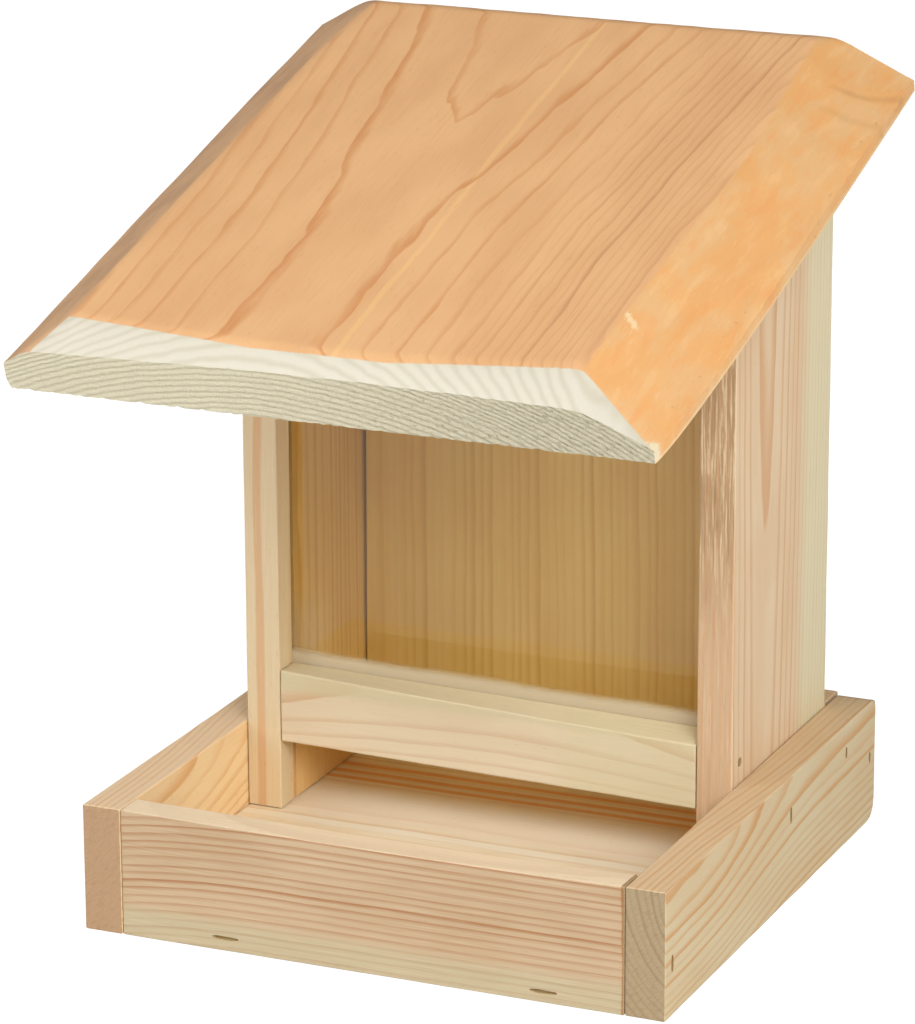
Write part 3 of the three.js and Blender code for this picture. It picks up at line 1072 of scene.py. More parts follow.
def staple_tree(steel: bpy.types.Material) -> Tree:
    """A wire staple, its crown along X and its legs down.

    Args:
        steel: Its material.

    Returns:
        The tree.
    """
    sizes = {"Crown": 11.2 * MM, "Leg": 29.5 * MM, "Wire": 1.3 * MM, "Bend": 1.4 * MM}
    tree = Tree("staple", sizes)
    crown, leg, wire, bend = (tree.given(label) for label in sizes)
    index = tree.node("GeometryNodeInputIndex")
    across = (index.over(1.5) - 0.5) * (crown - wire)
    down = abs(index - 1.5).over(1.0) * leg + wire * 0.5
    line = tree.node("GeometryNodeMeshLine", None, {"Count": 4})
    sockets = {"Geometry": line, "Position": tree.vector(across, 0.0, down * -1.0)}
    path = tree.node("GeometryNodeSetPosition", None, sockets)
    path = tree.node("GeometryNodeMeshToCurve", None, {"Mesh": path})
    sockets = {"Curve": path, "Count": 5, "Radius": bend}
    path = tree.node("GeometryNodeFilletCurve", {"mode": "POLY"}, sockets)
    sockets = {"Width": wire, "Height": wire * 1.15}
    flat = tree.node("GeometryNodeCurvePrimitiveQuadrilateral", None, sockets)
    sockets = {"Curve": path, "Profile Curve": flat, "Fill Caps": True}
    tree.plant(tree.node("GeometryNodeCurveToMesh", None, sockets), steel, math.radians(2.5))
    return tree


@dataclass(frozen=True)
class Pin:
    """A nail or a screw: a tapered head on a shank. Millimetres.

    Attributes:
        name: What it is.
        head: The width of its head.
        rim: The height of its head.
        shank: The width of its shank.
        length: The length of its shank.
        slot: The width of the slot across its head, or 0.
    """

    name: str
    head: float
    rim: float
    shank: float
    length: float
    slot: float = 0.0

    def tree(self, steel: bpy.types.Material) -> Tree:
        """The tree that makes it.

        Args:
            steel: Its material.

        Returns:
            The tree.
        """
        sizes = {"Head": self.head, "Rim": self.rim, "Shank": self.shank, "Length": self.length}
        tree = Tree(self.name, {label: size * MM for label, size in sizes.items()})
        head, rim, shank, length = (tree.given(label) for label in sizes)
        half = shank * 0.5
        sockets = {"Vertices": 28, "Radius Top": head * 0.5, "Radius Bottom": half, "Depth": rim}
        cap = tree.moved(tree.node("GeometryNodeMeshCone", None, sockets), rim * -1.0)
        if self.slot:
            size = tree.vector(head * 1.2, self.slot * MM, rim)
            bar = tree.node("GeometryNodeMeshCube", None, {"Size": size})
            sockets = {"Mesh 1": cap, "Mesh 2": bar}
            cap = tree.node("GeometryNodeMeshBoolean", {"operation": "DIFFERENCE"}, sockets)
        sockets = {"Vertices": 16, "Radius": half, "Depth": length}
        stem = tree.node("GeometryNodeMeshCylinder", None, sockets)
        stem = tree.moved(stem, (length + rim) * -0.5)
        both = tree.node("GeometryNodeJoinGeometry", None, {"Geometry": [cap, stem]})
        tree.plant(both, steel, math.radians(1.5))
        return tree


def corners(node: str) -> tuple[Vector, Vector]:
    """The lowest and highest corners of a solid of the frame."""
    low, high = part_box(node)
    return Vector(low), Vector(high)


def dress(piece: bpy.types.Object, material: bpy.types.Material) -> None:
    """Gives a piece one material all over."""
    piece.data.materials.clear()
    piece.data.materials.append(material)


def seat(piece: bpy.types.Object, body: str, slot: str, *nodes: str) -> None:
    """Attaches a finished piece to what it moves with, and hides the solids that it stands for.

    Args:
        piece: The piece.
        body: What it moves with.
        slot: Not used.
        *nodes: The solids that it stands for.
    """
    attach(piece, body)
    if nodes:
        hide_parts(*nodes)
    LOG.info("%s: %d faces on %s", piece.name, len(piece.data.polygons), body)


def place_board(piece: bpy.types.Object, body: str, node: str, finish: BarePine) -> None:
    """Args:
        piece: The board.
        body: What it moves with.
        node: The solid that it stands for.
        finish: Its looks.
    """
    dress(piece, finish.material())
    seat(piece, body, "pine", node)


# -------- The studio --------
@dataclass
class Studio:
    """Camera, lamps and floor.

    Attributes:
        eye: The camera's place.
        yaw: How far it looks to the left of straight back, in degrees.
        pitch: How far down.
        roll: Its lean.
        lens: Its focal length in millimetres.
        sensor: The width of its sensor.
        aim: Where the lamps point.
        sky_strength: How bright the surroundings are.
        floor_half: Half the floor's width.
        floor_drop: How far it lies below the feeder.
    """

    eye: tuple[float, float, float] = (0.8278, -1.9313, 0.8128)
    yaw: float = 23.589
    pitch: float = 17.062
    roll: float = -0.263
    lens: float = 197.52
    sensor: float = 36
    aim: tuple[float, float, float] = (0, 0, 0.15)
    sky_strength: float = 0.165
    floor_half: float = 12.0
    floor_drop: float = 0.4 * MM

    def camera(self) -> None:
        """Places the camera."""
        yaw, pitch, roll = (math.radians(v) for v in (self.yaw, self.pitch, self.roll))
        level = math.cos(pitch)
        ahead = Vector((-math.sin(yaw) * level, math.cos(yaw) * level, -math.sin(pitch)))
        right = Vector((math.cos(yaw), math.sin(yaw), 0))
        up = right.cross(ahead)
        side = right * math.cos(roll) + up * math.sin(roll)
        top = up * math.cos(roll) - right * math.sin(roll)
        data = bpy.data.cameras.new("camera")
        data.lens = self.lens
        data.sensor_width = self.sensor
        data.sensor_fit = "HORIZONTAL"
        data.clip_start = 0.01
        data.clip_end = 50
        camera = bpy.data.objects.new("camera", data)
        turn = Matrix((side, top, -ahead)).transposed().to_4x4()
        camera.matrix_world = Matrix.Translation(self.eye) @ turn
        bpy.context.scene.collection.objects.link(camera)
        bpy.context.scene.camera = camera

    def lamp(self, name: str, place: Sequence[float], size: float, power: float) -> None:
        """Adds a square softbox that faces the feeder.

        Args:
            name: Its name.
            place: Where it stands.
            size: The length of its side.
            power: Watts.
        """
        data = bpy.data.lights.new(name, "AREA")
        data.size = size
        data.energy = power
        lamp = bpy.data.objects.new(name, data)
        aim = Vector(self.aim) - Vector(place)
        turn = aim.to_track_quat("-Z", "Y").to_matrix().to_4x4()
        lamp.matrix_world = Matrix.Translation(place) @ turn
        bpy.context.scene.collection.objects.link(lamp)

    def floor(self) -> None:
        """Lays the pale floor."""
        recipe = Recipe("studio_floor")
        rays = recipe.node("ShaderNodeLightPath", None, None, "Is Camera Ray")
        plain = recipe.node("ShaderNodeBsdfDiffuse", None, {"Color": (0.86, 0.86, 0.86)})
        white = recipe.node("ShaderNodeEmission", None, {"Color": (1.0, 1.0, 1.0), "Strength": 1.25})
        recipe.surface(recipe.blend(rays * 0.8, plain, white))
        signs = ((-1, -1), (1, -1), (1, 1), (-1, 1))
        points = [Vector((x * self.floor_half, y * self.floor_half, -self.floor_drop)) for x, y in signs]
        floor = Shell(points, [(0, 1, 2, 3)]).finish("floor")
        dress(floor, recipe.material)

    def sky(self) -> None:
        """Lights everything evenly from all round."""
        world = bpy.data.worlds.new("studio")
        world.use_nodes = True
        back = world.node_tree.nodes["Background"]
        back.inputs["Color"].default_value = (1.0, 1.0, 1.0, 1.0)
        back.inputs["Strength"].default_value = self.sky_strength
        bpy.context.scene.world = world

    def build(self) -> None:
        """Builds the whole studio."""
        self.camera()
        self.sky()
        self.floor()
        self.lamp("key", (1.6, -1.7, 1.6), 1.3, 47)
        self.lamp("fill", (-1.8, -1.6, 1.2), 1.4, 22)
        self.lamp("high", (-0.7, -1.7, 2.0), 1.3, 13)
        self.lamp("side", (2.3, -0.6, 0.8), 1.2, 11)
        self.lamp("low", (0.5, -2.6, 0.55), 1.5, 6.5)
        bpy.context.scene.view_settings.view_transform = "Standard"


# -------- The feeder --------
@dataclass
class Tray:
    """The tray: four lips round a floor board.

    Attributes:
        iron: What holds it together.
        body: What it moves with.
        sag: The hollow worn in the front lip's top.
        sag_at: Where it is deepest, from the middle.
        foot_round: How far the side lips' lower rear corners are rounded.
        top_round: And their upper ones.
    """

    iron: Ironmongery
    body: str = "base"
    sag: float = 1.2 * MM
    sag_at: float = 40 * MM
    foot_round: float = 9 * MM
    top_round: float = 3.5 * MM

    def floor_board(self) -> None:
        """Lays the bottom, its grain from side to side."""
        low, high = corners("floor_board")
        board = Block(low, high, ease=0.7 * MM, seed=1).shell().finish("tray_floor")
        carve(board, self.iron.dents("foot"))
        grain = Grain(
            (0, 0.020, 0.017), RIGHT, UP, 0, 70, 3.4, 0.55, 0.93, 0.2, wobble=0.6, phase=0.56, seed=4
        )
        pine = Pine(
            early=srgb(240, 229, 200), warm=srgb(234, 217, 182), late=srgb(212, 166, 104),
            stripes=(
                Stripe(BACKWARD, -14, 5, srgb(244, 238, 220)),
                # The golden band over the rear of the floor is painted warm shade under the hopper.
                Stripe(BACKWARD, 70, 60, srgb(239, 212, 166), 0.45),
                Stripe(BACKWARD, 12, 24, srgb(244, 229, 207), 0.7),
                *(Stripe(BACKWARD, at, 2.4, srgb(232, 156, 80), 0.75) for at in (44, 52, 61)),
            ),
        )
        place_board(board, self.body, "floor_board", BarePine("pine_floor", grain, pine))

    def front_lip(self) -> None:
        """Stands the front board, whose top is slightly hollow."""
        low, high = corners("front_lip")
        height = high.z - low.z
        left, right = low.x, high.x

        def hollow(point: Vector) -> Vector:
            """Lowers a point of the board where the top is worn."""
            t = (point.x - left) / (right - left)
            peak = (self.sag_at - left) / (right - left)
            deep = self.sag * (t * (1 - t)) / (peak * (1 - peak)) * (0.6 + 0.4 * t)
            share = max(0.0, (point.z - low.z) / height - 0.6) / 0.4
            return point - Vector((0, 0, deep * share))

        board = Block(low, high, seed=2).shell(hollow).finish("tray_front_lip")
        carve(board, self.iron.dents("front"))
        grain = Grain(
            (0, -0.1325, 0.03), RIGHT, FRONT, 150, 28, 3.5, 0.42, 0.93, 0.7,
            bow=0.0011, turn_at=-50, turn=Turn.BEFORE, clear=0.35, wobble=0.55, seed=11,
        )
        low_sap = Stripe(UP, 0, 17, srgb(188, 180, 148), 0.6)
        joint = Stripe(RIGHT, 116.6, 1.6, srgb(150, 104, 58), 0.8)
        pine = Pine(
            early=srgb(196, 170, 138), warm=srgb(189, 162, 129), late=srgb(160, 104, 60), fibre=0.16,
            # The pale tone on the top is painted light: it makes the top much brighter than the front
            # face.
            tones=(FaceTone(UP, srgb(244, 225, 192), 0.97, rings=0.12),), stripes=(low_sap, joint),
        )
        place_board(board, self.body, "front_lip", BarePine("pine_front_lip", grain, pine))

    def back_lip(self) -> None:
        """Stands the back board."""
        low, high = corners("back_lip")
        board = Block(low, high, seed=3).shell().finish("tray_back_lip")
        carve(board, self.iron.dents("back"))
        grain = Grain((0, 0.1325, 0.03), RIGHT, BACKWARD, 20, 40, 3.4, lean=0.01, seed=17)
        place_board(board, self.body, "back_lip", BarePine("pine_back_lip", grain, Pine()))

    def side_lip(self, side: str, outward: Direction, seed: float, pine: Pine) -> None:
        """Stands one side board.

        Args:
            side: Left or right.
            outward: The way its outer face looks.
            seed: Shifts its noise.
            pine: Its colours.
        """
        node = side + "_lip"
        low, high = corners(node)

        def rounded(point: Vector) -> Vector:
            """Moves a point of the board where its rear corners are rounded over."""
            for level, radius in ((low.z, self.foot_round), (high.z, self.top_round)):
                sign = 1 if level == low.z else -1
                centre = Vector((point.x, high.y - radius, level + sign * radius))
                away = Vector((0, point.y - centre.y, point.z - centre.z))
                if away.y > 0 and away.z * sign < 0:
                    reach = max(away.y, abs(away.z))
                    if reach > 1e-9 and away.length > 1e-9:
                        return centre + away.normalized() * reach
            return point

        board = Block(low, high, seed=seed).shell(rounded, 4 * MM).finish("tray_" + node)
        carve(board, self.iron.dents(side))
        x = high.x if outward[0] > 0 else low.x
        grain = Grain(
            (x, 0, 0.03), BACKWARD, outward, -32 * outward[0], -45, 3.2, 0.45, 0.9, 0.5,
            lean=0.01, kink=9.5, kink_span=(-100, 55), clear=0.3, wobble=0.9, seed=seed * 7,
        )
        place_board(board, self.body, node, BarePine("pine_tray_" + node, grain, pine))

    def build(self) -> None:
        """Builds the tray."""
        self.floor_board()
        self.front_lip()
        self.back_lip()
        # The left lip's orange body colour is partly the wood's and partly painted warm bounce light on
        # its inner face.
        left = Pine(
            early=srgb(245, 217, 169), warm=srgb(241, 208, 157), late=srgb(223, 168, 106),
            end=srgb(181, 148, 115), end_dark=srgb(154, 120, 90), end_rings=0.12,
            tones=(FaceTone(UP, srgb(230, 207, 177), 0.8),),
        )
        right = Pine(
            early=srgb(216, 199, 163), warm=srgb(214, 192, 153), late=srgb(206, 150, 90),
            end=srgb(172, 151, 119), end_dark=srgb(138, 116, 86), fibre=0.14,
            tones=(FaceTone(UP, srgb(226, 196, 156), 0.7),),
        )
        self.side_lip("left", LEFT, 4, left)
        self.side_lip("right", RIGHT, 5, right)


@dataclass
class Hopper:
    """The upright boards that hold the seed, and the rail and pane at its front.

    Attributes:
        iron: What holds it together.
        body: What it moves with.
        kerf_from: The pane's saw kerf, from the walls' front edges.
        kerf_wide: Its width.
        kerf_deep: Its depth.
        splay: How much narrower the back board is at its top left.
        splay_wide: The width of the strip in which it narrows.
        tilt: How far the rail leans down to the right, in degrees.
        wane: How far the rail's top is planed down at its right front corner.
        wane_high: How far down that planing reaches.
        proud: How far the planed top stands over its solid's.
    """

    iron: Ironmongery
    body: str = "base"
    kerf_from: float = 13.2 * MM
    kerf_wide: float = 3.0 * MM
    kerf_deep: float = 4.5 * MM
    splay: float = 1.2 * MM
    splay_wide: float = 20 * MM
    tilt: float = 1.1
    wane: float = 4.5 * MM
    wane_high: float = 14 * MM
    proud: float = 2.0 * MM

    def sloped(self, low: Vector, high: Vector) -> Callable[[Vector], Vector]:
        """A move that leans a board's flat top to the roof's slope.

        Args:
            low: The board's lowest corner.
            high: Its highest, which the rear of its top keeps.

        Returns:
            The move.
        """

        def lean(point: Vector) -> Vector:
            """Scales the height of a point to the slope above it."""
            top = high.z - (high.y - point.y) * math.tan(Roof.slope)
            share = (point.z - low.z) / (high.z - low.z)
            return Vector((point.x, point.y, low.z + share * (top - low.z)))

        return lean

    def wall(self, side: str, inward: float, grain: Grain, pine: Pine) -> None:
        """Stands one side wall.

        Args:
            side: Left or right.
            inward: The sign of the way from its outer face to its inner one.
            grain: How it lay in its tree.
            pine: Its colours.
        """
        node = side + "_wall"
        low, high = corners(node)
        name = "hopper_" + node
        board = Block(low, high, seed=grain.seed).shell(self.sloped(low, high)).finish(name)
        inner = high.x if inward > 0 else low.x
        floor = inner - inward * self.kerf_deep
        y0 = low.y + self.kerf_from
        x0, x1 = sorted((floor, inner + inward * 2 * MM))
        kerf = box_cutter((x0, y0, low.z - MM), (x1, y0 + self.kerf_wide, high.z + MM))
        carve(board, [kerf, *self.iron.brad_dents(side)])
        place_board(board, self.body, node, BarePine("pine_" + name, grain, pine))

    def back_board(self) -> None:
        """Stands the board at the back, narrower at its top left."""
        low, high = corners("back_board")
        lean = self.sloped(low, high)

        def fit(point: Vector) -> Vector:
            """Leans the top and draws in the left edge towards it."""
            moved = lean(point)
            left = max(0.0, 1 - (moved.x - low.x) / self.splay_wide)
            return moved + Vector((self.splay * left * (moved.z - low.z) / (high.z - low.z), 0, 0))

        board = Block(low, high, ease=0.7 * MM, seed=8).shell(fit).finish("hopper_back")
        grain = Grain(
            (0, low.y, 0.2), UP, FRONT, -160, 60, 4.2, 0.3, 0.9, 0.8,
            lean=0.006, clear=0.1, wobble=1.3, seed=29,
        )
        # The golden base shows on the board's front only, as its back takes a pale tone: it is partly
        # the wood's colour and partly painted warm bounce light inside the hopper.
        pine = Pine(
            early=srgb(238, 217, 155), warm=srgb(233, 207, 142), late=srgb(215, 178, 110), fibre=0.14,
            tones=(
                FaceTone(BACKWARD, srgb(226, 200, 160), 0.85),
                # Painted warm bounce light on the shaded top of the front face.
                FaceTone(FRONT, srgb(226, 190, 106), 0.6, above=235),
            ),
            stripes=(
                Stripe(RIGHT, -62, 7, srgb(240, 220, 164), 0.5),
                Stripe(RIGHT, -84, 3, srgb(240, 220, 164), 0.4),
            ),
        )
        place_board(board, self.body, "back_board", BarePine("pine_back_board", grain, pine))

    def rail(self) -> None:
        """Sets the feed rail between the walls, out of level."""
        low, high = corners("feed_rail")
        tilt = math.tan(math.radians(self.tilt))
        drop = (high.x - low.x) / 2 * tilt
        middle = (low.x + high.x) / 2
        level_low = Vector((low.x, low.y, low.z + drop))
        level_high = Vector((high.x, high.y, high.z - drop + self.proud))

        def cant(point: Vector) -> Vector:
            """Drops the right end, and planes the top away towards the front there."""
            t = (point.x - low.x) / (high.x - low.x)
            forward = (high.y - point.y) / (high.y - low.y)
            near_top = max(0.0, 1 - (level_high.z - point.z) / self.wane_high)
            ripple = noise.noise(Vector((point.x * 60, 0, 4))) * 0.4 * MM
            plane = (self.wane * t**0.8 + ripple * t) * forward * near_top
            return point - Vector((0, 0, (point.x - middle) * tilt + plane))

        block = Block(level_low, level_high, ease=1.3 * MM, seed=9)
        board = block.shell(cant).finish("feed_rail_board")
        grain = Grain(
            (0, low.y, 0.064), RIGHT, FRONT, -16, 60, 2.3, 0.55, 0.95, 0.3,
            bow=-0.0002, clear=0.3, wobble=0.4, phase=0.2, seed=37,
        )
        pine = Pine(
            early=srgb(225, 210, 181), warm=srgb(220, 202, 172), late=srgb(203, 167, 127), fibre=0.14,
            stripes=(
                # Painted shade: the grey-green band along the top stands for the rounded top turning
                # away from the light.
                Stripe(UP, 84, 12, srgb(208, 198, 161), 0.8),
                # Painted shadow: the grey-green patch at the right end stands for the right wall's
                # shadow.
                Stripe(RIGHT, 70, 45, srgb(208, 200, 158), 0.4),
            ),
        )
        place_board(board, self.body, "feed_rail", BarePine("pine_rail", grain, pine))

    def clear_plastic(self) -> bpy.types.Material:
        """The pane's finish: glossy and a little yellow, with a faint film of dust all over, painted
        shade along its foot and a faint patch of painted reflection at its lower left.

        Returns:
            The material.
        """
        recipe = Recipe("pane_plastic")
        place = recipe.place()
        smear = recipe.noise((place.dot(RIGHT) * 22, 0.0, place.dot(UP) * 14), 3.0, 0.6)
        clear = recipe.node("ShaderNodeBsdfTransparent", None, {"Color": (0.965, 0.93, 0.82)})
        white = {"Color": (1.0, 1.0, 1.0), "Roughness": 0.03}
        gloss = recipe.node("ShaderNodeBsdfGlossy", None, white)
        facing = recipe.node("ShaderNodeFresnel", None, {"IOR": 1.49})
        outside = 1 - recipe.node("ShaderNodeNewGeometry", None, None, "Backfacing")
        sheen = recipe.blend(facing * outside * 1.4, clear, gloss)
        dust_and_painted_light = recipe.node("ShaderNodeBsdfDiffuse", None, {"Color": srgb(216, 202, 172)})
        x, z = place.dot(RIGHT) * (1 / MM), place.dot(UP) * (1 / MM)
        # Painted shade: a pale-grey band along the pane's foot copies the rail's shaded top and its
        # reflection.
        painted_shade_band = (z + x * 0.0192 + (smear - 0.5) * 4).step(88.8, 85.0) * 0.72
        # Painted reflection: a faint pale patch at the pane's lower left.
        corner = x.step(-76, -100) * z.step(122, 98) * 0.14
        return recipe.surface(recipe.blend(smear * 0.02 + painted_shade_band + corner, sheen, dust_and_painted_light))

    def pane(self) -> None:
        """Slides the pane into its kerfs."""
        low, high = corners("pane")
        block = Block(low, high, ease=0.25 * MM, wave=0, seed=10)
        sheet = block.shell(cell=60 * MM).finish("clear_pane")
        dress(sheet, self.clear_plastic())
        seat(sheet, self.body, "pane_plastic", "pane")

    def build(self) -> None:
        """Builds the hopper."""
        right = Grain(
            (0.1167, 0.031, 0.185), UP, RIGHT, 0, 50, 3.3, 0.55, 0.92, 0.15,
            lean=-0.0126, clear=0.6, wobble=0.5, sap_from=70, phase=0.75, seed=19,
        )
        left = Grain(
            (-0.1167, 0.05, 0.17), UP, LEFT, 40, 50, 3.8, 0.35, 0.93, 0.9,
            clear=0.1, wobble=0.8, seed=23,
        )
        heart = Pine(
            early=srgb(228, 202, 167), warm=srgb(224, 193, 156), late=srgb(212, 166, 122),
            sap=srgb(226, 214, 178),
            tones=(
                FaceTone(FRONT, srgb(196, 163, 128), 0.7, 0.15),
                # Darker towards the top of the front edge: partly rough-sawn wood, partly painted shade
                # under the roof.
                FaceTone(FRONT, srgb(174, 144, 106), 0.85, 0.55, 150),
            ),
        )
        # The golden base shows on the wall's inner face only, as its other faces take pale tones: it is
        # partly the wood's colour and partly painted warm bounce light inside the hopper.
        golden_with_painted_bounce = Pine(
            early=srgb(242, 216, 150), warm=srgb(237, 208, 138), late=srgb(209, 168, 98),
            tones=(
                FaceTone(FRONT, srgb(211, 193, 163), 0.9),
                FaceTone(LEFT, srgb(222, 200, 164), 0.9),
                FaceTone(BACKWARD, srgb(222, 200, 164), 0.9),
            ),
            stripes=(
                # Painted warm glow: the golden-orange band low on the inner face stands for bounce light
                # in the shade under the rail.
                Stripe(UP, 24, 28, srgb(240, 196, 132), 0.85),
                # Painted light: the pale strip at the front of the inner face stands for the part lit
                # directly in front of the pane.
                Stripe(BACKWARD, -3, 11, srgb(223, 204, 168), 0.85),
                Stripe(RIGHT, -109.7, 2.6, srgb(210, 152, 100), 0.5),
            ),
        )
        self.wall("left", 1, left, golden_with_painted_bounce)
        self.wall("right", -1, right, heart)
        self.back_board()
        self.rail()
        self.pane()


class Edge(Enum):
    """The plank's edges, as quarter turns from the front."""

    FRONT = 0
    RIGHT = 1
    REAR = 2
    LEFT = 3


@dataclass(frozen=True)
class Stroke:
    """One planing stroke along an edge of the roof plank. Millimetres and degrees.

    Attributes:
        edge: The edge that it runs along.
        at: Where `run` is measured, from the edge's middle.
        run: How far in from the edge it starts.
        pitch: Its steepness.
        skew: Its turn in plan.
        fresh: Whether it is newly cut and still pale.
    """

    edge: Edge
    at: float
    run: float
    pitch: float
    skew: float = 0.0
    fresh: bool = False

    def drop(self, u: Any, s: Any) -> Any:
        """How far this stroke's plane is above the top face, negative where it cuts.

        Args:
            u: Across the plank from its middle, a number or a term.
            s: Up the slope from its middle, a number or a term.

        Returns:
            The height, of the same kind.
        """
        x, y = ((u, s), (s, -1 * u), (-1 * u, -1 * s), (-1 * s, u))[self.edge.value]
        deep = Roof.wide / 2 if self.edge.value % 2 else Roof.long / 2
        skew = math.radians(self.skew)
        inward = (x - self.at) * -math.sin(skew) + (y - (self.run - deep)) * math.cos(skew)
        return inward * math.tan(math.radians(self.pitch))


@dataclass
class PlankFinish:
    """The roof's looks: orange on its old faces, pale where the front bevel is fresh.

    Attributes:
        recipe: The material.
        cut: The plank's grain, in millimetres from the middle of its top.
        strokes: Its planing strokes.
        outward: The way its top looks.
        front: How far its front edge is from its middle.
    """

    recipe: Recipe
    cut: Cut
    strokes: Sequence[Stroke]
    outward: Direction
    front: float

    def lowest(self, chosen: Callable[[Stroke], bool]) -> Term:
        """The lowest plane of some of the strokes.

        Args:
            chosen: Which strokes count.

        Returns:
            The height over the top face.
        """
        u, s = self.cut.across, self.cut.along
        planes = (stroke.drop(u, s) for stroke in self.strokes if chosen(stroke))
        return functools.reduce(Term.least, planes)

    def bevels(self) -> tuple[Term, Term, Term]:
        """Where the bevels are.

        Returns:
            The masks of the fresh front one, the right one and the left one.
        """
        front = self.lowest(lambda stroke: stroke.fresh)
        flank = self.lowest(lambda stroke: stroke.edge is Edge.RIGHT)
        ridge = self.lowest(lambda stroke: stroke.edge is Edge.RIGHT and stroke.skew > -10)
        left = self.lowest(lambda stroke: stroke.edge is Edge.LEFT)
        ragged = (self.cut.fleck - 0.5) * 0.5
        upper = self.recipe.normal().dot(self.outward).step(-0.6, -0.3)
        on_front = (front + ragged).step(0.1, -0.25) * (front - ridge * 0.38).step(0.2, -0.2)
        on_front = on_front * (front - left * 1.25).step(0.2, -0.2) * upper
        on_flank = (flank + ragged).step(0.1, -0.25) * (1 - on_front) * upper
        on_left = (left + ragged).step(0.1, -0.25) * (1 - on_front) * upper
        return on_front, on_flank, on_left

    def top(self) -> Term:
        """The old top face, streaked and warm.

        Returns:
            The colour.
        """
        cut, recipe = self.cut, self.recipe
        u, s = cut.across, cut.along
        weak = recipe.noise((u * 0.03, s * 0.02, 9.0)).step(0.3, 0.6) * 0.35 + 0.5
        thin = u.step(30, 80)
        dark = recipe.mix(thin, srgb(216, 146, 90), srgb(200, 142, 98))
        return recipe.layered(
            srgb(238, 187, 134),
            (cut.broad.step(0.35, 0.65), srgb(231, 178, 126)),
            (abs(u - 3 + (cut.broad - 0.5) * 6).step(1.9, 0.6) * 0.45, srgb(248, 204, 138)),
            (cut.late ** (1 + thin * 1.5) * weak, dark),
            ((cut.year * 2).fraction().step(0.6, 0.95) * thin * 0.22, dark),
            (cut.fibre.step(0.54, 0.76) * 0.25, srgb(214, 154, 104)),
            (cut.fibre.step(0.44, 0.28) * 0.2, srgb(246, 206, 158)),
            (cut.fleck.step(0.7, 0.76) * 0.35, srgb(190, 136, 94)),
        )

    def flank(self, blotch: Term) -> Term:
        """The old bevels, patchy.

        Args:
            blotch: A slow pattern.

        Returns:
            The colour.
        """
        cut, recipe = self.cut, self.recipe
        patch = recipe.noise((cut.across * 0.2, cut.along * 0.035, 2.0), 3.0, 0.6)
        return recipe.layered(
            srgb(237, 178, 114),
            (blotch.step(0.42, 0.6), srgb(233, 184, 128)),
            (patch.step(0.5, 0.68) * 0.5, srgb(240, 196, 140)),
            (patch.step(0.47, 0.32) * 0.6, srgb(238, 167, 103)),
            (cut.late * 0.25, srgb(222, 156, 92)),
            (cut.fleck.step(0.64, 0.78) * 0.28, srgb(248, 216, 164)),
        )

    def knocked(self, side: Term) -> Term:
        """Adds the knot's swirl, the worn corner and arris, nicks and a chip.

        Args:
            side: The bevel's colour so far.

        Returns:
            The new colour.
        """
        cut = self.cut
        u, s = cut.across, cut.along
        knot_u, knot_s = u - 112, s - 160
        knot = (knot_u * knot_u + knot_s * knot_s).root() + (cut.broad - 0.5) * 12
        swirl = abs(knot - 38).step(3.5, 0) + abs(knot - 57).step(4.5, 0) * 0.5
        uneven = cut.fleck - 0.5
        corner = (abs(u - 143) + abs(s + self.front) + uneven * 6).step(7, 4)
        arris = (cut.deep + uneven * 0.5 * 5).step(-25.0, -26.4)
        nicks = self.recipe.noise((s * 0.24, cut.deep * 0.5, 11.0), 2.0, 0.7).step(0.63, 0.74)
        chip_u, chip_s = u - 111, s + self.front - 65
        chip = abs(chip_u + chip_s + uneven * 8).step(2.6, 1.2) * abs(chip_u - chip_s).step(10, 5)
        return self.recipe.layered(
            side,
            (swirl * u.step(116, 126) * 0.5, srgb(208, 148, 92)),
            (corner * 0.8, srgb(232, 222, 192)),
            (arris * 0.6, srgb(240, 214, 168)),
            (nicks * cut.deep.step(-16, -19) * 0.5, srgb(176, 128, 80)),
            (chip * 0.65, srgb(248, 226, 180)),
        )

    def worn(self, blotch: Term) -> Term:
        """The left bevel, greyer.

        Args:
            blotch: A slow pattern.

        Returns:
            The colour.
        """
        return self.recipe.layered(
            srgb(222, 178, 136),
            (blotch.step(0.4, 0.62), srgb(206, 164, 126)),
            (self.cut.fleck.step(0.66, 0.76) * 0.4, srgb(176, 132, 98)),
        )

    def fresh(self, lines: Term) -> Term:
        """The pale new bevel.

        Args:
            lines: The years' lines.

        Returns:
            The colour.
        """
        return self.recipe.layered(
            srgb(221, 214, 196),
            (lines * 0.5, srgb(200, 190, 165)),
            (self.cut.fibre.step(0.5, 0.75) * 0.2, srgb(204, 192, 166)),
        )

    def butt(self, lines: Term) -> tuple[Term, Term]:
        """The end grain, more torn towards the right.

        Args:
            lines: The years' lines.

        Returns:
            The colour, and the relief that the saw left.
        """
        cut, recipe = self.cut, self.recipe
        grit = recipe.noise((cut.across * 1.4, cut.deep * 1.4, 3.0), 3.0, 0.7)
        saw = recipe.noise((cut.across * 0.5, cut.deep * 0.9, 8.0), 2.0, 0.6)
        pits = recipe.noise((cut.year * 3.4, cut.across * 0.4, 5.0), 2.0, 0.6)
        rightward = cut.across.step(-60, 120)
        torn = pits.step(0.58, 0.66) * (rightward * 0.85 + 0.15)
        colour = recipe.layered(
            srgb(219, 211, 184),
            (rightward, srgb(217, 208, 180)),
            (lines * 0.6, srgb(184, 173, 144)),
            (grit.step(0.5, 0.72) * 0.3, srgb(164, 150, 122)),
            (torn * 0.55, srgb(132, 121, 93)),
            (pits.step(0.44, 0.36) * rightward * 0.4, srgb(228, 222, 202)),
        )
        rough = cut.end * (4.0 + rightward * 4.0)
        return colour, (grit + saw - lines * 0.4 - torn * 0.3) * rough

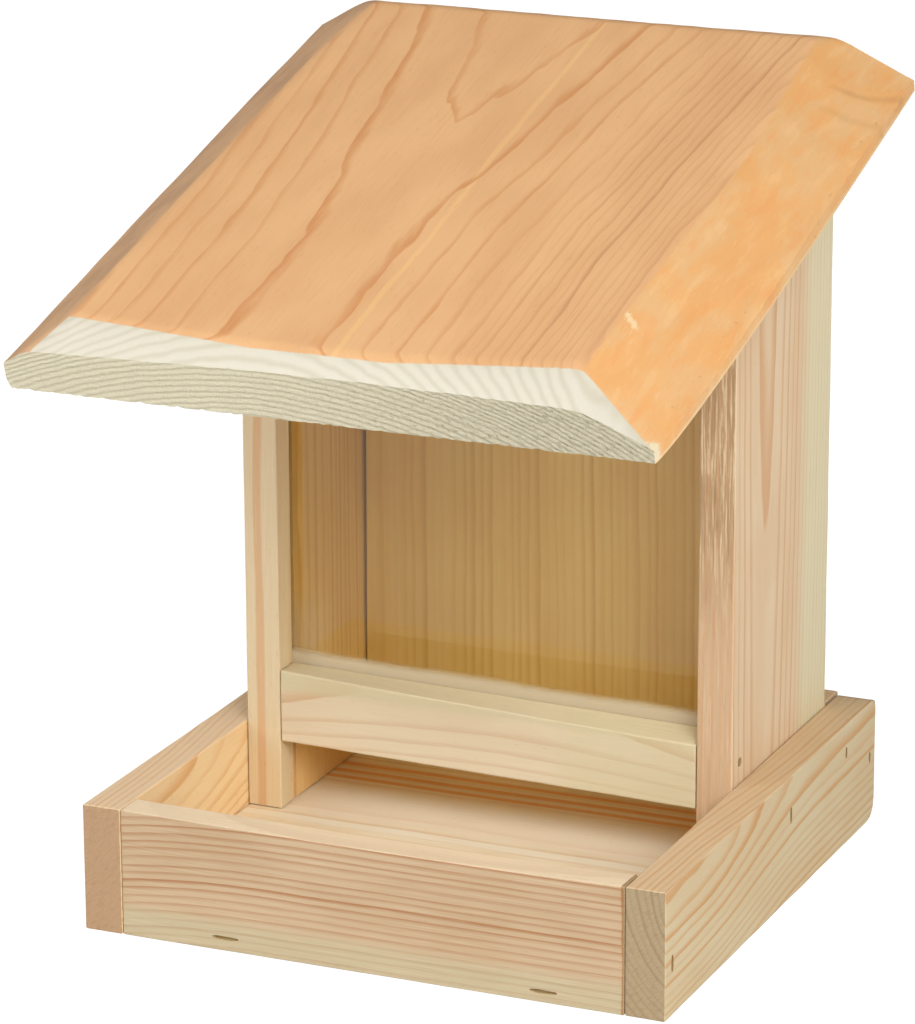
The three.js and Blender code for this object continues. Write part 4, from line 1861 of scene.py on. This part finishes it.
    def material(self) -> bpy.types.Material:
        """Puts the finish together.

        Returns:
            The material.
        """
        cut, recipe = self.cut, self.recipe
        blotch = recipe.noise((cut.across * 0.05, cut.along * 0.02, 6.0), 3.0, 0.6)
        lines = (abs((cut.year * 1.4).fraction() - 0.5) * 2).step(0.25, 1.0)
        on_front, on_flank, on_left = self.bevels()
        butt, sawn = self.butt(lines)
        colour = recipe.layered(
            self.top(),
            (on_flank, self.knocked(self.flank(blotch))),
            (on_left, self.worn(blotch)),
            (on_front, self.fresh(lines)),
            (cut.end, butt),
        )
        sockets = {
            "Base Color": colour,
            "Roughness": 0.66 + cut.end * 0.2 - cut.late * 0.08,
            "Specular IOR Level": 0.3,
        }
        return recipe.solid(sockets, cut.fibre * 0.35 + cut.late * 0.3 + sawn, 0.14 * MM)


@dataclass
class Roof:
    """The hinged roof: one thick plank with a planed bevel along every upper edge.

    Millimetres in the plank's own frame: u across, s up the slope from the middle of the plank,
    h through its thickness.

    Attributes:
        body: What it moves with.
        slope: Its pitch, in radians.
        wide: Its width.
        long: Its length up the slope.
        thick: Its thickness.
        bow: How far its right edge bulges.
        bow_reach: How soon the bulge sets in from each end.
        front_y: Where its lower front edge is, in the feeder's frame.
        front_z: And how high.
        cell: The grid's step.
        storeys: How many steps it has through the thickness.
        soft: How softly two strokes meet.
        wear: How much of the lower left edge is worn off.
        worn_cells: Across how many steps of the grid.
        worn_high: And how far up.
        strokes: Its planing strokes.
    """

    body: str = "roof"
    slope: float = math.radians(15.45)
    wide: float = 287.6
    long: float = 324.5
    thick: float = 27.0
    bow: float = 3.0
    bow_reach: float = 30.0
    front_y: float = -170.8
    front_z: float = 253.0
    cell: float = 1.6
    storeys: int = 8
    soft: float = 1.1
    wear: float = 2.0
    worn_cells: float = 6.0
    worn_high: float = 6.0
    strokes: tuple[Stroke, ...] = (
        Stroke(Edge.FRONT, 0, 11, 24.4, 0, True),
        Stroke(Edge.FRONT, -119, 19.2, 22.3, -5.5, True),
        Stroke(Edge.FRONT, 106, 22, 16.3, 7.8, True),
        Stroke(Edge.RIGHT, -60, 35.3, 29.5, -1.1),
        Stroke(Edge.RIGHT, 124, 39, 28, 4),
        Stroke(Edge.RIGHT, -140, 37.5, 24.6, -20.3),
        Stroke(Edge.REAR, 0, 7.8, 27.7),
        Stroke(Edge.LEFT, 0, 25.2, 33.3, -0.7),
        Stroke(Edge.LEFT, -148, 31.5, 29.3, -6),
    )

    def frame(self) -> Matrix:
        """The plank's frame in the feeder's, from millimetres to metres."""
        turn = Matrix.Rotation(self.slope, 4, "X")
        move = Matrix.Translation(Vector((0, self.front_y * MM, self.front_z * MM)))
        return move @ turn @ Matrix.Scale(MM, 4)

    def right_edge(self, s: float) -> float:
        """Where the bowed right edge is.

        Args:
            s: Up the slope from the front.

        Returns:
            Its distance across from the middle.
        """
        b = 2 * self.bow_reach
        a = self.long - b
        t = (-b + math.sqrt(b * b + 4 * a * s)) / (2 * a)
        return self.wide / 2 + 2 * self.bow * 2 * t * (1 - t)

    def top(self, u: float, s: float) -> float:
        """The height of the planed top.

        Args:
            u: Across from the middle.
            s: Up the slope from the front.

        Returns:
            The height over the underside.
        """
        heights = [0.0] + [stroke.drop(u, s - self.long / 2) for stroke in self.strokes]
        low = min(heights)
        near = sum(math.exp(-(h - low) / self.soft) for h in heights if h - low < 9)
        planed = min(1.0, -low / 4)
        ripple = noise.noise(Vector((u * 0.035, s * 0.012, 3))) * (0.12 + 0.5 * planed)
        scallop = noise.noise(Vector((u * 0.11, s * 0.05, 7))) * 0.22 * planed
        blended = min(low - self.soft * math.log(near) + 0.25, 0.0)
        return self.thick + blended + min(ripple + scallop - 0.2, 0.0)

    def shell(self) -> Shell:
        """The plank's skin, as a grid bent to its shape.

        Returns:
            The closed skin.
        """
        frame = self.frame()
        columns = math.ceil(self.wide / self.cell)
        rows = math.ceil(self.long / self.cell)
        made = Shell()

        @functools.cache
        def corner(spot: tuple[int, ...]) -> int:
            """Adds the vertex at a place in the grid, once: across, up the slope, up."""
            i, j, k = spot
            s = self.long * j / rows
            left, right = -self.wide / 2, self.right_edge(s)
            u = left + (right - left) * i / columns
            h = self.top(u, s) * k / self.storeys
            worn = max(0.0, 1 - i / self.worn_cells) ** 2 * max(0.0, 1 - h / self.worn_high) ** 2
            point = Vector((u + self.wear * worn, s, h))
            if 0 < k < self.storeys:
                point += noise.noise_vector(point * 0.35) * 0.12
            if j == 0 and 0 < i < columns:
                leaning = Vector((0, 1, 1 - k / self.storeys))
                point += leaning * abs(noise.noise(point * 0.45)) * 0.7
            made.points.append(frame @ point)
            return len(made.points) - 1

        made.skin((columns, rows, self.storeys), corner)
        return made

    def material(self) -> bpy.types.Material:
        """Its finish.

        Returns:
            The material.
        """
        tilt = Matrix.Rotation(self.slope, 3, "X")
        outward = tuple(tilt @ Vector(UP))
        centre = self.frame() @ Vector((0, self.long / 2, self.thick))
        grain = Grain(
            tuple(centre), tuple(tilt @ Vector(BACKWARD)), outward, -28, 200, 4.6, 0.52, 0.9, 0.15,
            lean=-0.042, turn_at=115 - self.long / 2, turn=Turn.AFTER, ease=36,
            pinch=0.066, core=202.3, squash=1.8, keen=0.85, clear=0.4, wobble=1.5, phase=0.02, seed=5,
        )
        recipe = Recipe("pine_roof")
        cut = grain_masks(recipe, grain)
        return PlankFinish(recipe, cut, self.strokes, outward, self.long / 2).material()

    def build(self) -> None:
        """Builds the plank."""
        plank = self.shell().finish("roof_board", 50)
        dress(plank, self.material())
        seat(plank, self.body, "roof_pine", "roof_plank")


@dataclass(frozen=True)
class Steel:
    """Zinc-plated steel, more or less tarnished.

    Attributes:
        bright: Its colour.
        dull: Its colour where it is clouded.
        metallic: How metallic it is.
        rough: Its roughness where it is bright.
    """

    bright: Colour = srgb(188, 187, 182)
    dull: Colour = srgb(158, 155, 146)
    metallic: float = 0.9
    rough: float = 0.32

    def material(self, name: str) -> bpy.types.Material:
        """The material, clouded and lightly scratched.

        Args:
            name: Its name.

        Returns:
            The material.
        """
        recipe = Recipe(name)
        place = recipe.place()
        brushed = (place.dot(RIGHT) * 90, place.dot(BACKWARD) * 900, place.dot(UP) * 900)
        cloud = recipe.noise(brushed, 3.0)
        sockets = {
            "Base Color": recipe.mix(cloud.step(0.3, 0.7), self.bright, self.dull),
            "Metallic": self.metallic,
            "Roughness": self.rough + cloud * 0.25,
        }
        return recipe.solid(sockets, cloud, 0.02 * MM)


@dataclass
class Ironmongery:
    """Staples, brads, pane rests, screws and hinges.

    Attributes:
        nodes: The frame's solids by name.
        faces: The way each group of staples looks.
        leg: How long a staple's legs and a brad are.
        rest: How long a pane rest is.
        screw: How long a hinge screw is.
        sink: How far a driven crown lies under its solid's.
        open_dent: The dent over a staple whose crown lies flat.
        closed_dents: The dents over upright ones in turn, where the wood has closed again.
        brad_dent: The dent over a brad.
    """

    nodes: dict[str, bpy.types.Object]
    faces: dict[str, Direction] = field(
        default_factory=lambda: {
            "front": FRONT, "back": BACKWARD, "left": LEFT, "right": RIGHT, "foot": DOWN,
        }
    )
    leg: float = 30 * MM
    rest: float = 14 * MM
    screw: float = 13 * MM
    sink: float = 0.35 * MM
    open_dent: Dent = Dent(12.2, 1.45)
    closed_dents: tuple[Dent, Dent] = (Dent(5.2, 2.2, past=1.6), Dent(7.6, 2.2, past=1.6))
    brad_dent: Dent = Dent(4.4, 3.6, 1.2)

    def named(self, *words: str) -> list[str]:
        """The solids whose names have all these words."""
        return [name for name in sorted(self.nodes) if all(word in name for word in words)]

    def driven(self, names: Iterable[str], side: str) -> list[Fastening]:
        """The places of some staples or brads.

        Args:
            names: Their solids.
            side: The side that they were driven from.

        Returns:
            The places.
        """
        length = self.leg - 2 * self.sink
        return [Fastening.read(name, self.faces[side], length) for name in names]

    def dents(self, side: str) -> list[bpy.types.Object]:
        """Cutters for the dents of one side's staples.

        Args:
            side: The side.

        Returns:
            The cutters.
        """
        made = []
        for i, place in enumerate(self.driven(self.named(side + "_staple"), side)):
            upright = abs(place.lies.z) > 0.5
            dent = self.closed_dents[i % 2] if upright else self.open_dent
            made.append(place.gouge(dent, i + len(side)))
        return made

    def brads(self, side: str) -> list[Fastening]:
        """The place of the brad in one wall."""
        return self.driven(self.named("rail_brad", side), side)

    def brad_dents(self, side: str) -> list[bpy.types.Object]:
        """A cutter for the dent of the brad in one wall."""
        return [place.gouge(self.brad_dent, 4) for place in self.brads(side)]

    def staples(self, steel: bpy.types.Material) -> None:
        """Drives the tray's staples."""
        names: list[str] = []
        places: list[Fastening] = []
        for side in self.faces:
            found = self.named(side + "_staple")
            names += found
            places += self.driven(found, side)
        seat(staple_tree(steel).grow("tray_staples", places), "base", "zinc_steel", *names)

    def pins(self, steel: bpy.types.Material, tarnished: bpy.types.Material) -> None:
        """Drives the brads and the pane's rests.

        Args:
            steel: The rests' material.
            tarnished: The brads' material.
        """
        brad = Pin("brad", 2.8, 0.7, 1.6, 28).tree(tarnished)
        brads = brad.grow("rail_brads", self.brads("left") + self.brads("right"))
        seat(brads, "base", "zinc_steel", *self.named("rail_brad"))
        rest = Pin("rest", 1.4, 0.2, 1.3, 13.8).tree(steel)
        names = self.named("pane_rest")
        rests = rest.grow("pane_rests", [Fastening.read(n, BACKWARD, self.rest) for n in names])
        seat(rests, "base", "zinc_steel", *names)

    def hinges(self, steel: bpy.types.Material) -> None:
        """Drives the hinge screws and dresses the leaves and pins."""
        under = (0.0, math.sin(Roof.slope), -math.cos(Roof.slope))
        tree = Pin("screw", 4.7, 1.5, 2.4, 11.4, slot=0.6).tree(steel)
        for leaf, body, outward in (("frame", "base", BACKWARD), ("roof", "roof", under)):
            names = self.named(leaf + "_screw")
            places = [Fastening.read(name, outward, self.screw) for name in names]
            screws = tree.grow(leaf + "_hinge_screws", places)
            seat(screws, body, "zinc_steel", *names)
        for name in self.named("hinge"):
            if "screw" not in name:
                dress(self.nodes[name], steel)

    def build(self) -> None:
        """Builds every metal part."""
        bright = Steel().material("zinc_steel")
        dark = Steel(srgb(176, 150, 92), srgb(128, 104, 58), 0.0, 0.6).material("tarnished_steel")
        self.staples(dark)
        self.pins(bright, dark)
        self.hinges(bright)


def main() -> None:
    """Builds the feeder's looks on its frame."""
    logging.basicConfig(level=logging.INFO, format="%(name)s: %(message)s")
    noise.seed_set(NOISE_SEED)
    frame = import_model()
    Studio().build()
    iron = Ironmongery(frame["nodes"])
    Tray(iron).build()
    Hopper(iron).build()
    Roof().build()
    iron.build()


if __name__ == "__main__":
    main()
